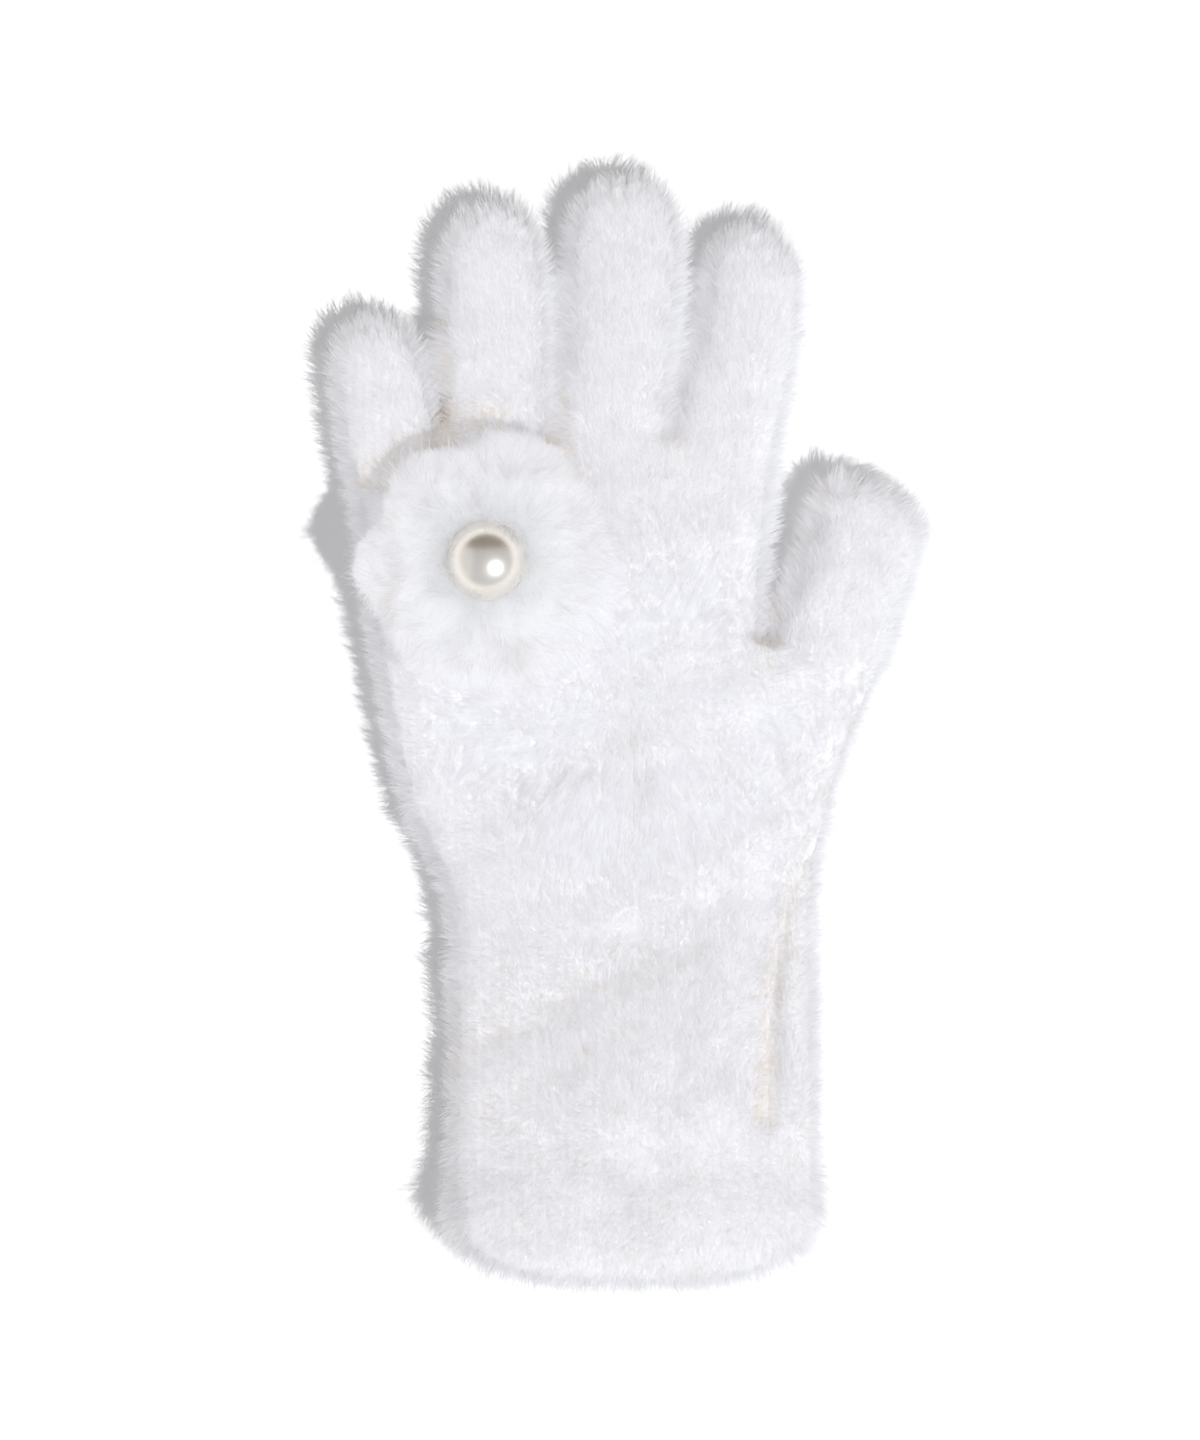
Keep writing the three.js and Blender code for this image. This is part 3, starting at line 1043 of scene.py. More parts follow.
@dataclass
class KnitBody:
    """The glove's knit: one hollow skin that stands for all eight knitted parts."""

    cell: float = 1.15 * MM
    overlap: float = 0.2 * MM
    smoothing: int = 6
    lift: float = 0.7 * MM
    lump_size: float = 19.0 * MM
    lump_height: float = 0.27 * MM
    lump_seeds: tuple[int, int] = (5, 6)
    fine_lumps: float = 0.5
    finer: float = 2.6
    top_slope: Span = (0.15, 0.7)
    side_room: float = 0.9 * MM
    hem_line: float = -98.0 * MM
    hem_blend: Span = (3.0 * MM, 12.0 * MM)
    hem_rounds: int = 45
    tip_length: float = 14.0 * MM
    sight_start: float = 0.4 * MM
    finish: KnitFinish = KnitFinish()
    skin: Skin = field(init=False)

    def build(self) -> bpy.types.Object:
        """Make the skin, shape it and find its outside.

        Returns:
            The piece.
        """
        nodes = [part.node for part in Part]
        points, faces, owners = swollen_copy(nodes, self.overlap)
        mesh = remeshed(points, faces, self.cell)
        edges = read_edges(mesh)
        shape = self.blended(relaxed(read_points(mesh), edges, self.smoothing), edges)
        reshape(mesh, shape)
        reshape(mesh, self.shaped(shape, read_normals(mesh), self.outward(mesh)))
        self.skin = self.outside(mesh, BVHTree.FromPolygons(points.tolist(), faces.tolist()), owners)
        return dressed_skin("knit_body", mesh, self.finish.make(), nodes)

    def blended(self, points: Array, edges: Array) -> Array:
        """Smooth away the step between the wrist and the thicker hem.

        Args:
            points: The skin's vertices.
            edges: Pairs of vertices that an edge joins.

        Returns:
            The moved vertices.
        """
        step = 0.6
        both = np.concatenate([edges, edges[:, ::-1]])
        count = np.maximum(np.bincount(both[:, 0], minlength=len(points)), 1)
        near = 1.0 - ease(np.abs(points[:, 1] - self.hem_line), *self.hem_blend)
        for _ in range(self.hem_rounds):
            mean = np.bincount(both[:, 0], points[both[:, 1], 2], len(points)) / count
            points[:, 2] += (mean - points[:, 2]) * step * near
        return points

    def outward(self, mesh: bpy.types.Mesh) -> Array:
        """Tell which vertices lie on the outside.

        Args:
            mesh: The whole skin.

        Returns:
            True for each vertex from which the sky or the table shows straight up or down.
        """
        points, normals = read_points(mesh), read_normals(mesh)
        starts = points + normals * self.sight_start
        tree = BVHTree.FromPolygons(points.tolist(), read_triangles(mesh).tolist())
        up, down = Vector((0.0, 0.0, 1.0)), Vector((0.0, 0.0, -1.0))
        found = np.zeros(len(points), dtype=bool)
        for number, start in enumerate(starts.tolist()):
            if tree.ray_cast(start, up)[0] is None or tree.ray_cast(start, down)[0] is None:
                found[number] = True
        return found

    def shaped(self, points: Array, normals: Array, out: Array) -> Array:
        """Add soft lumps and sharper folds, and leave room for the pile at sides, underside and tips.

        Args:
            points: The skin's vertices.
            normals: Their normals.
            out: Which of them lie on the outside.

        Returns:
            The moved vertices.
        """
        top = ease(normals[:, 2], *self.top_slope) * out
        seed, fine_seed = self.lump_seeds
        fine = swell(points, self.lump_size / self.finer, fine_seed)
        lumps = swell(points, self.lump_size, seed) + self.fine_lumps * fine
        points = points + normals * (lumps * self.lump_height * top)[:, None]
        points = points - normals * (self.side_room * (1.0 - top) * out)[:, None]
        points[:, 2] -= crease_depth(points) * top
        points[:, 2] = np.maximum(points[:, 2], self.lift)
        for tip, way, room in TIPS:
            place = points[:, :2] - np.array(tip) * MM
            along, aside = place @ way, place @ (way[1], -way[0])
            share = ease(along, -self.tip_length, 0.0) * (np.abs(aside) < self.tip_length)
            points[:, :2] -= share[:, None] * np.array(way) * room * MM
        return points

    def outside(self, mesh: bpy.types.Mesh, tree: BVHTree, owners: Array) -> Skin:
        """Collect the outer triangles, each with the part it lies on.

        Args:
            mesh: The finished skin.
            tree: The frame's solids, to look parts up in.
            owners: The part of each of the tree's triangles.

        Returns:
            The skin that pile grows on.
        """
        points, normals = read_points(mesh), read_normals(mesh)
        triangles = read_triangles(mesh)
        out = self.outward(mesh)[triangles].all(axis=1)
        triangles = triangles[out]
        middles = points[triangles].mean(axis=1)
        part = np.array([owners[tree.find_nearest(spot)[2]] for spot in middles.tolist()])
        return Skin(points[triangles], normals[triangles], part)


@dataclass
class Ground:
    """What the knit is like at each root, in shares from 0 to 1.

    Upper is 0 only on the underside, flat is 1 where the knit faces the sky, stitch is 1 in the middle
    of a stitch, bare_and_shade is 1 in the barest hollow, where its warm shade is painted deepest, and
    sunny is 1 where a side faces the lamp.
    """

    upper: Array
    flat: Array
    stitch: Array
    bare_and_shade: Array
    sunny: Array

    def kept(self, which: Array) -> "Ground":
        """Return the values at only some of the roots."""
        values = (self.upper, self.flat, self.stitch, self.bare_and_shade, self.sunny)
        return Ground(*(value[which] for value in values))


@dataclass(frozen=True)
class Cover:
    """How thickly the pile grows: shares of a coat that are kept or lost in each place."""

    kept_below: float = 0.22
    lost_in_hollows: float = 0.5
    lost_between_stitches: float = 0.15
    lost_on_lamp_side: float = 0.35
    loose_lost_on_top: float = 0.9
    loose_saved_at_tips: float = 0.5
    short_at_sides: float = 0.6
    short_more_on_top: float = 0.25
    short_more_in_gaps: float = 0.4


@dataclass(frozen=True)
class Growth:
    """How the pile's length changes from place to place, in shares of its full length."""

    more_in_gaps: float = 0.5
    less_on_top: float = 0.35
    less_in_hollows: float = 0.4
    kept_below: float = 0.72
    swells: float = 0.08
    swell_size: float = 6.0 * MM
    swell_seed: int = 77
    more_at_tips: float = 0.25
    more_at_corners: float = 0.45


@dataclass(frozen=True)
class Toning:
    """How the pile's tint changes: by soft clouds, by the stitches, from place to place, and by painted
    shade and light: shade round the flower and in hollows and creases, light on the lamp's side and in
    gaps.
    """

    broad_cloud: float = 0.02
    broad_size: float = 14.0 * MM
    broad_seed: int = 91
    fine_cloud: float = 0.03
    fine_size: float = 3.5 * MM
    fine_seed: int = 92
    flower_edge: float = 29.0 * MM
    flower_rim: float = 4.0 * MM
    painted_shade_at_rim: float = 0.3
    cuff: Span = (10.0 * MM, 70.0 * MM)
    duller_on_cuff: float = 0.2
    stitches: float = 0.12
    bare_cuff: Span = (30.0 * MM, 70.0 * MM)
    more_stitches_on_cuff: float = 0.2
    brighter_on_lamp_side: float = 0.3
    painted_light_in_gaps: float = 0.12
    painted_shade_in_hollows: float = 0.8
    hair_to_hair: float = 0.17


@dataclass(frozen=True)
class Combing:
    """Which way the pile lies: up the fingers, down the cuff, out at the sides and across the gaps."""

    upwards: float = 0.3
    more_on_fingers: float = 0.7
    fingers: Span = (62.0 * MM, 92.0 * MM)
    less_on_cuff: float = 1.2
    cuff: Span = (76.0 * MM, 112.0 * MM)
    outwards: float = 0.45
    middle: float = 1.0 * MM
    half_width: float = 38.0 * MM
    swirls: float = 0.25
    swirl_size: float = 12.0 * MM
    swirl_seed: int = 31
    stray: float = 0.75
    spread: float = 11.0
    lying: float = 26.0
    underside: float = 6.0
    across_gaps: float = 0.85
    lean_in_gaps: float = 0.3
    rise_in_gaps: float = 0.3
    light_in_gaps: float = 2.5
    tip_lean: float = 0.45
    tip_fall: float = 0.25
    tip_stray: float = 0.22

    def flow(self, roots: Roots) -> Array:
        """Give the way that the pile leans at each root.

        Args:
            roots: The roots.

        Returns:
            Unit vectors along the knit.
        """
        x, y = roots.place[:, 0], roots.place[:, 1]
        along = self.upwards + self.more_on_fingers * ease(y, *self.fingers)
        along -= self.less_on_cuff * ease(-y, *self.cuff)
        across = np.clip((x - self.middle) / self.half_width, -1.0, 1.0) * self.outwards
        flow = np.stack([across, along, np.zeros(len(x))], axis=1)
        for axis in range(2):
            flow[:, axis] += self.swirls * swell(roots.place, self.swirl_size, self.swirl_seed + axis)
        return along_skin(flow, roots.facing)


@dataclass
class Pile:
    """The brushed pile: short fur all over, and longer loose hair at the edges and tips."""

    body: KnitBody
    short: Coat = Coat(
        per_mm2=20.0,
        length=3.1 * MM,
        width=0.13 * MM,
        varies=0.35,
        stand=52.0,
        tuft=1.3 * MM,
        pull=0.35,
        tone=0.09,
    )
    loose: Coat = Coat(
        per_mm2=3.6,
        length=5.2 * MM,
        width=0.13 * MM,
        varies=0.4,
        parts=2,
        stand=70.0,
        tuft=2.2 * MM,
        pull=0.65,
        tone=0.13,
    )
    cover: Cover = Cover()
    growth: Growth = Growth()
    toning: Toning = Toning()
    combing: Combing = Combing()
    tuft_sway: float = 0.25 * MM
    tip_pull: float = 0.95
    wide_tuft: float = 3.2 * MM
    wide_pull: float = 0.12
    wide_tip_pull: float = 0.6
    wide_sway: float = 0.4 * MM
    wide_tone: float = 0.02
    floor: float = 0.1 * MM
    lamp_side: Way = (0.77, -0.64, 0.0)
    upper_slope: Span = (-0.75, -0.2)
    flat_slope: Span = (0.3, 0.9)
    course_depth: float = 0.4
    bare_in_gaps: float = 0.6
    first_seed: int = 100
    seed_step: int = 10
    finish: HairFinish = HairFinish(
        "pile",
        warm_shade=(0.86, 0.795, 0.72),
        dull=(0.865, 0.865, 0.885),
        plain=(0.925, 0.93, 0.95),
        bright=(0.985, 0.99, 1.0),
        root=(0.88, 0.875, 0.87),
    )

    # The hem's middle and its lower corner from there on the plan, and where the longer hair round
    # a corner begins to shorten and where it ends, in millimetres
    hem_middle: float = 1.3
    hem_corner: Point = (36.0, -118.0)
    corner_edge: Span = (3.0, 14.0)

    # Half a fingertip's size on the plan, in millimetres, and where its longer hair begins to
    # shorten and where it ends, in shares of that
    tip_half_size: Point = (13.0, 11.0)
    tip_edge: Span = (0.5, 1.35)

    def build(self) -> list[bpy.types.Object]:
        """Grow the pile, short and loose, on each knitted part.

        Returns:
            Two pieces for each part.
        """
        finish = self.finish.make()
        pieces = []
        for part in Part:
            seed = self.first_seed + self.seed_step * part.value
            short = [self.grown(self.short, part, seed)]
            pieces.append(hair_object(f"pile_{part.node}", short, finish, seed + 8))
            loose = [self.grown(self.loose, part, seed + 5)]
            pieces.append(hair_object(f"loose_hair_{part.node}", loose, finish, seed + 9))
        return pieces

    def grown(self, coat: Coat, part: Part, seed: int) -> Hairs:
        """Grow one coat on one part.

        Args:
            coat: The kind of hair.
            part: Where it grows.
            seed: Picks the roots.

        Returns:
            The hairs.
        """
        rng = np.random.default_rng(seed)
        roots = self.body.skin.sown(part.value, coat.per_mm2, rng)
        ground = self.ground(roots)
        share = self.covered(coat, roots, ground)
        kept = rng.random(len(share)) < share
        roots, ground = roots.kept(kept), ground.kept(kept)
        gap = in_gap(roots.place)
        near = gap[:, None]
        comb = self.combing
        lean = unit(comb.flow(roots) + comb.stray * self.sideways(roots, rng))
        way = self.rising(coat, roots, ground, lean, rng)
        across = unit(roots.facing * (1.0 - UP)) + lean * comb.lean_in_gaps + UP * comb.rise_in_gaps
        way = unit(way * (1.0 - comb.across_gaps * near) + unit(across) * comb.across_gaps * near)
        length = self.lengths(coat, roots, ground, gap, rng)
        fall = -comb.tip_fall * UP * (1.0 - near)
        sag = unit(way + lean * comb.tip_lean + fall + rng.normal(0.0, comb.tip_stray, way.shape))
        middle = roots.place + way * (0.5 * length)[:, None]
        tint = self.tints(roots, ground, gap, middle, rng)
        roots.facing = unit(roots.facing + comb.light_in_gaps * UP * near)
        hairs = Hairs.bent(roots, (way, sag), length, coat, tint, rng)
        tips = self.at_tips(roots.place)
        pull = coat.pull + (self.tip_pull - coat.pull) * tips
        hairs.gather(coat.tuft, pull, self.tuft_sway, coat.tone, seed + 1)
        wide_pull = self.wide_pull + self.wide_tip_pull * tips
        hairs.gather(self.wide_tuft, wide_pull, self.wide_sway, self.wide_tone, seed + 2)
        hairs.keep_above(self.floor)
        return hairs

    def ground(self, roots: Roots) -> Ground:
        """Look up what the knit is like at each root.

        Args:
            roots: The roots.

        Returns:
            The knit's shares there.
        """
        wale = 0.5 + 0.5 * np.cos(roots.place[:, 0] / WALE * 2.0 * math.pi)
        course = 0.5 + 0.5 * np.cos(roots.place[:, 1] / COURSE * 2.0 * math.pi)
        flat = ease(roots.facing[:, 2], *self.flat_slope)
        sunny = np.clip(roots.facing @ np.array(self.lamp_side), 0.0, 1.0)
        return Ground(
            upper=ease(roots.facing[:, 2], *self.upper_slope),
            flat=flat,
            stitch=wale * (1.0 - self.course_depth + self.course_depth * course),
            bare_and_shade=bareness_and_shade(roots.place) * (1.0 - self.bare_in_gaps * in_gap(roots.place)),
            sunny=sunny * (1.0 - flat),
        )

    def covered(self, coat: Coat, roots: Roots, ground: Ground) -> Array:
        """Tell how much of a coat grows at each root.

        It is thin on the underside, in hollows, between stitches and on the lamp's side. Loose hair
        grows mostly at the sides and tips, short pile mostly on top and in gaps.

        Args:
            coat: The kind of hair.
            roots: The roots.
            ground: What the knit is like there.

        Returns:
            The share of the roots that keep their hair.
        """
        rule = self.cover
        share = rule.kept_below + (1.0 - rule.kept_below) * ground.upper
        share *= 1.0 - rule.lost_in_hollows * ground.bare_and_shade
        share *= 1.0 - rule.lost_between_stitches * (1.0 - ground.stitch) * ground.flat
        if coat is self.loose:
            saved = rule.loose_saved_at_tips * self.at_tips(roots.place)
            share *= 1.0 - rule.loose_lost_on_top * ground.flat * (1.0 - saved)
        else:
            more = rule.short_more_in_gaps * in_gap(roots.place)
            share *= rule.short_at_sides + rule.short_more_on_top * ground.flat + more
        return share * (1.0 - rule.lost_on_lamp_side * ground.sunny)

    def rising(
        self, coat: Coat, roots: Roots, ground: Ground, lean: Array, rng: np.random.Generator
    ) -> Array:
        """Give the way that each hair leaves the knit: steeply at the sides, lying flatter on top.

        Args:
            coat: The kind of hair.
            roots: The roots.
            ground: What the knit is like there.
            lean: The way that each hair leans along the knit.
            rng: The source of random numbers.

        Returns:
            Unit vectors.
        """
        comb = self.combing
        spread = rng.normal(0.0, comb.spread, len(lean))
        stand = np.radians(coat.stand + (comb.lying - coat.stand) * ground.flat + spread)
        stand = np.where(ground.upper < 0.5, np.radians(comb.underside), stand)
        return roots.facing * np.sin(stand)[:, None] + lean * np.cos(stand)[:, None]

    def lengths(
        self, coat: Coat, roots: Roots, ground: Ground, gap: Array, rng: np.random.Generator
    ) -> Array:
        """Give each hair's length: longer in gaps, at fingertips and at the hem's corners.

        Args:
            coat: The kind of hair.
            roots: The roots.
            ground: What the knit is like there.
            gap: How near each root is to a gap between fingers.
            rng: The source of random numbers.

        Returns:
            The lengths.
        """
        rule = self.growth
        length = coat.length * (1.0 + rule.more_in_gaps * gap) * (1.0 - rule.less_on_top * ground.flat)
        length *= 1.0 - rule.less_in_hollows * ground.bare_and_shade
        length *= rule.kept_below + (1.0 - rule.kept_below) * ground.upper
        length *= 1.0 + coat.varies * rng.uniform(-1.0, 1.0, len(length))
        length *= 1.0 + rule.swells * swell(roots.place, rule.swell_size, rule.swell_seed)
        tips, corners = self.at_tips(roots.place), self.at_corners(roots.place)
        return length * (1.0 + rule.more_at_tips * tips + rule.more_at_corners * corners)

    def tints(
        self, roots: Roots, ground: Ground, gap: Array, middle: Array, rng: np.random.Generator
    ) -> Array:
        """Give each hair's tint: cloudy, ribbed by the stitches and duller on the cuff, with painted
        shade by the flower and in hollows and creases, and painted light on the lamp's side and in
        gaps.

        Args:
            roots: The roots.
            ground: What the knit is like there.
            gap: How near each root is to a gap between fingers.
            middle: Where the middle of each hair lies.
            rng: The source of random numbers.

        Returns:
            The tints.
        """
        rule = self.toning
        flower = np.array(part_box("pearl_bead")).mean(axis=0)[:2]
        down = -roots.place[:, 1]
        cloud = swell(roots.place, rule.broad_size, rule.broad_seed) * rule.broad_cloud
        cloud += swell(roots.place, rule.fine_size, rule.fine_seed) * rule.fine_cloud
        # Painted shade round the flower's rim
        rim = np.linalg.norm(roots.place[:, :2] - flower, axis=1) - rule.flower_edge
        cloud -= rule.painted_shade_at_rim * bell(rim / rule.flower_rim)
        cloud -= rule.duller_on_cuff * ease(down, *rule.cuff)
        ribbed = rule.stitches + rule.more_stitches_on_cuff * ease(down, *rule.bare_cuff)
        # Painted light where a side faces the lamp, and in the gaps between fingers
        lighter = rule.brighter_on_lamp_side * ground.sunny
        cloud += ribbed * (ground.stitch - 0.5) * ground.flat + lighter + rule.painted_light_in_gaps * gap
        # Painted warm shade in hollows and creases, and on hair across a gap from the lines beside it
        painted_shade = np.maximum(ground.bare_and_shade, bareness_and_shade(middle) * gap)
        own = rng.normal(0.0, rule.hair_to_hair, len(cloud))
        return np.maximum(PLAIN + cloud + own, DULL) - rule.painted_shade_in_hollows * painted_shade

    @staticmethod
    def sideways(roots: Roots, rng: np.random.Generator) -> Array:
        """Return a random way along the skin for each root."""
        return along_skin(rng.normal(size=roots.facing.shape), roots.facing)

    def at_tips(self, places: Array) -> Array:
        """Tell how near each place is to the tip of its finger.

        Args:
            places: Points, one per row.

        Returns:
            Shares from 0 to 1.
        """
        half_width, half_length = self.tip_half_size
        x, y = places[:, 0] / MM, places[:, 1] / MM
        tops = np.zeros(len(places))
        for (tip_x, tip_y), _, _ in TIPS:
            gap = np.hypot((x - tip_x) / half_width, (y - tip_y) / half_length)
            tops = np.maximum(tops, 1.0 - ease(gap, *self.tip_edge))
        return tops

    def at_corners(self, places: Array) -> Array:
        """Tell how near each place is to a lower corner of the hem.

        Args:
            places: Points, one per row.

        Returns:
            Shares from 0 to 1.
        """
        corner_x, corner_y = self.hem_corner
        x, y = np.abs(places[:, 0] / MM - self.hem_middle), places[:, 1] / MM
        return 1.0 - ease(np.hypot(x - corner_x, y - corner_y), *self.corner_edge)


# The flower


@dataclass
class PetalGround:
    """Where a petal's roots lie: how far from the bead and which way, in metres and unit vectors.

    Upper is 0 on the underside, and close is 1 at the bead and 0 away from it.
    """

    far: Array
    radial: Array
    upper: Array
    close: Array

    def kept(self, which: Array) -> "PetalGround":
        """Return the values at only some of the roots."""
        return PetalGround(self.far[which], self.radial[which], self.upper[which], self.close[which])


@dataclass(frozen=True)
class FurCombing:
    """Which way the fur lies: out from the bead, along its petal, with swirls, but up at the bead."""

    outwards: float = 0.5
    along_petal: float = 0.4
    swirls: float = 1.1
    swirl_size: float = 8.0 * MM
    fine_swirls: float = 0.8
    fine_swirl_size: float = 4.0 * MM
    stray: float = 0.45
    spread: float = 14.0
    ruff_across: float = 0.8
    ruff_inward: Span = (0.2, 0.4)
    ruff_up: float = 0.5
    tip_stiff: float = 0.3
    tip_out: float = 0.9
    tip_fall: float = 0.6
    tip_stray: float = 0.4
    middle: float = 0.45


@dataclass(frozen=True)
class FurTrim:
    """How the fur is cut: to an uneven edge, shorter at the upper left, with some hairs left free.

    The edge's unevenness is looked up on a circle of its own. The ruff of fur at the bead is cut
    to a slope, shortest beside the bead.
    """

    reach: float = 29.5 * MM
    uneven: float = 2.5 * MM
    uneven_circle: float = 20.0 * MM
    uneven_size: float = 16.0 * MM
    uneven_seed: int = 55
    shorter: float = 2.0 * MM
    shorter_way: Way = (-0.5, 0.87, 0.0)
    longer: float = 2.0 * MM
    longer_way: Way = (0.7, -0.7, 0.0)
    least_room: float = 3.5 * MM
    room_range: Span = (0.8, 1.5)
    free: float = 0.05
    more_free: float = 0.15
    free_length: float = 1.2
    ruff_start: float = 8.0 * MM
    ruff_slope: float = 1.4
    ruff_least: float = 1.2 * MM
    shorter_parted: float = 0.3


@dataclass(frozen=True)
class FurToning:
    """How the fur's tint changes: painted light round the bead, painted warm shade where it parts, and
    painted shade on the hair below the petals.
    """

    tone: float = 0.62
    hair_to_hair: float = 0.28
    clouds: float = 0.05
    cloud_size: float = 7.0 * MM
    painted_light_at_core: float = 0.3
    core: Span = (11.0 * MM, 20.0 * MM)
    painted_shade_below: float = 0.3
    painted_shade_parted: float = 0.9


@dataclass
class FurFlower:
    """Five small pelts round the bead, with long fur combed outwards."""

    petals: int = 5
    cell: float = 0.9 * MM
    puff: float = 0.12 * MM
    smoothing: int = 4
    under: Coat = Coat(per_mm2=14.0, length=4.6 * MM, width=0.16 * MM, varies=0.3)
    silky: Coat = Coat(per_mm2=7.0, length=7.6 * MM, width=0.17 * MM, varies=0.45, parts=3)
    ruff: Coat = Coat(per_mm2=20.0, length=3.4 * MM, width=0.14 * MM, varies=0.3, parts=2)
    ruff_depth: float = 3.0 * MM
    ruff_edge: Span = (10.0 * MM, 13.5 * MM)
    combing: FurCombing = FurCombing()
    trim: FurTrim = FurTrim()
    toning: FurToning = FurToning()
    upper_slope: Span = (-0.6, 0.1)
    kept_below: float = 0.15
    own_facing: float = 0.5
    to_sky: float = 0.6
    tuft_sway: float = 0.6 * MM
    wide_tuft: float = 4.5 * MM
    wide_pull: float = 0.4
    wide_sway: float = 1.4 * MM
    wide_tone: float = 0.03
    floor: float = 12.0 * MM
    first_seed: int = 400
    seed_step: int = 20
    pelt: KnitFinish = KnitFinish(
        "pelt", wale=1.4 * MM, course=1.4 * MM, thread=(0.87, 0.86, 0.85), gap=(0.83, 0.81, 0.79)
    )
    finish: HairFinish = HairFinish(
        "long_fur",
        warm_shade=(0.88, 0.83, 0.77),
        dull=(0.86, 0.86, 0.88),
        plain=(0.94, 0.945, 0.965),
        bright=(0.99, 0.995, 1.0),
        root=(0.93, 0.925, 0.92),
        passes=0.4,
    )

    def build(self) -> list[bpy.types.Object]:
        """Make the five petals.

        Returns:
            Three pieces for each petal: its pelt, its down and its long fur.
        """
        pelt_finish, hair_finish = self.pelt.make(), self.finish.make()
        pieces = []
        for number in range(1, self.petals + 1):
            pelt, skin, axis = self.pelt_of(number, pelt_finish)
            seed = self.first_seed + self.seed_step * number
            under = [self.grown(self.under, skin, axis, seed)]
            down = hair_object(f"petal_down_{number}", under, hair_finish, seed + 14)
            silky = [
                self.grown(self.silky, skin, axis, seed + 8),
                self.grown(self.ruff, skin, axis, seed + 11),
            ]
            fur = hair_object(f"petal_fur_{number}", silky, hair_finish, seed + 15)
            pieces += [pelt, down, fur]
        return pieces

    def pelt_of(self, number: int, finish: bpy.types.Material) -> tuple[bpy.types.Object, Skin, Array]:
        """Make one petal's pelt.

        Args:
            number: The petal's number.
            finish: The pelt's material.

        Returns:
            The piece, the skin that fur grows on, and the petal's own way out from the bead.
        """
        node = f"flower_petal_{number}"
        points, faces, _ = swollen_copy([node], self.puff)
        mesh = remeshed(points, faces, self.cell)
        shape = relaxed(read_points(mesh), read_edges(mesh), self.smoothing)
        reshape(mesh, shape)
        pelt = dressed_skin(f"pelt_{number}", mesh, finish, [node])
        triangles = read_triangles(mesh)
        one_part = np.zeros(len(triangles), dtype=int)
        skin = Skin(shape[triangles], read_normals(mesh)[triangles], one_part)
        axis = shape.mean(axis=0) - self.centre()
        axis[2] = 0.0
        return pelt, skin, unit(axis)

    @staticmethod
    def centre() -> Array:
        """Return the bead's centre."""
        low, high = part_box("pearl_bead")
        return np.array((low + high) / 2.0)

    def grown(self, coat: Coat, skin: Skin, axis: Array, seed: int) -> Hairs:
        """Grow one coat on a petal.

        Args:
            coat: The kind of hair.
            skin: The petal's skin.
            axis: The petal's own way out from the bead.
            seed: Picks the roots.

        Returns:
            The hairs.
        """
        rng = np.random.default_rng(seed)
        roots = skin.sown(0, coat.per_mm2, rng)
        ground = self.ground(roots)
        share = self.kept_below + (1.0 - self.kept_below) * ground.upper
        if coat is self.ruff:
            share = ground.close * (roots.place[:, 2] > self.centre()[2] - self.ruff_depth)
        kept = rng.random(len(share)) < share
        roots, ground = roots.kept(kept), ground.kept(kept)
        combed = 1.0 - ground.close
        comb, apart = self.combing, combed[:, None]
        way_out = self.way_out(roots, ground, axis, seed, rng)
        way = self.rising(coat, roots, ground, way_out, rng)
        length = self.lengths(coat, ground, rng)
        bow = way_out * comb.tip_out - comb.tip_fall * UP * apart
        sag = unit(way * comb.tip_stiff + bow + rng.normal(0.0, comb.tip_stray, way.shape))
        parted = self.parted(roots.place + way_out * comb.middle * length[:, None])
        length *= 1.0 - self.trim.shorter_parted * parted
        tint = self.tints(roots, ground, parted, seed, rng)
        roots.facing = unit(roots.facing * self.own_facing * apart + UP * self.to_sky)
        hairs = Hairs.bent(roots, (way, sag), length, coat, tint, rng)
        hairs.gather(coat.tuft, coat.pull * combed, self.tuft_sway, coat.tone, seed + 1)
        hairs.gather(self.wide_tuft, self.wide_pull * combed, self.wide_sway, self.wide_tone, seed + 2)
        hairs.keep_above(self.floor)
        return hairs

    def ground(self, roots: Roots) -> PetalGround:
        """Look up where the roots lie.

        Args:
            roots: The roots.

        Returns:
            Their places round the bead.
        """
        out = roots.place - self.centre()
        out[:, 2] = 0.0
        far = np.linalg.norm(out, axis=1)
        upper = ease(roots.facing[:, 2], *self.upper_slope)
        return PetalGround(far, unit(out), upper, 1.0 - ease(far, *self.ruff_edge))

    def way_out(
        self, roots: Roots, ground: PetalGround, axis: Array, seed: int, rng: np.random.Generator
    ) -> Array:
        """Give the way that each hair is combed: outwards, along its petal, with swirls.

        Args:
            roots: The roots.
            ground: Where they lie.
            axis: The petal's own way out from the bead.
            seed: Picks the swirls.
            rng: The source of random numbers.

        Returns:
            Unit vectors.
        """
        comb = self.combing
        turn = swell(roots.place, comb.swirl_size, seed + 3)
        turn += comb.fine_swirls * swell(roots.place, comb.fine_swirl_size, seed + 4)
        twist = turn[:, None] * np.cross(ground.radial, UP)
        loose = rng.normal(0.0, comb.stray, ground.radial.shape)
        out = ground.radial * comb.outwards + axis * comb.along_petal
        return unit(out + twist * comb.swirls + loose)

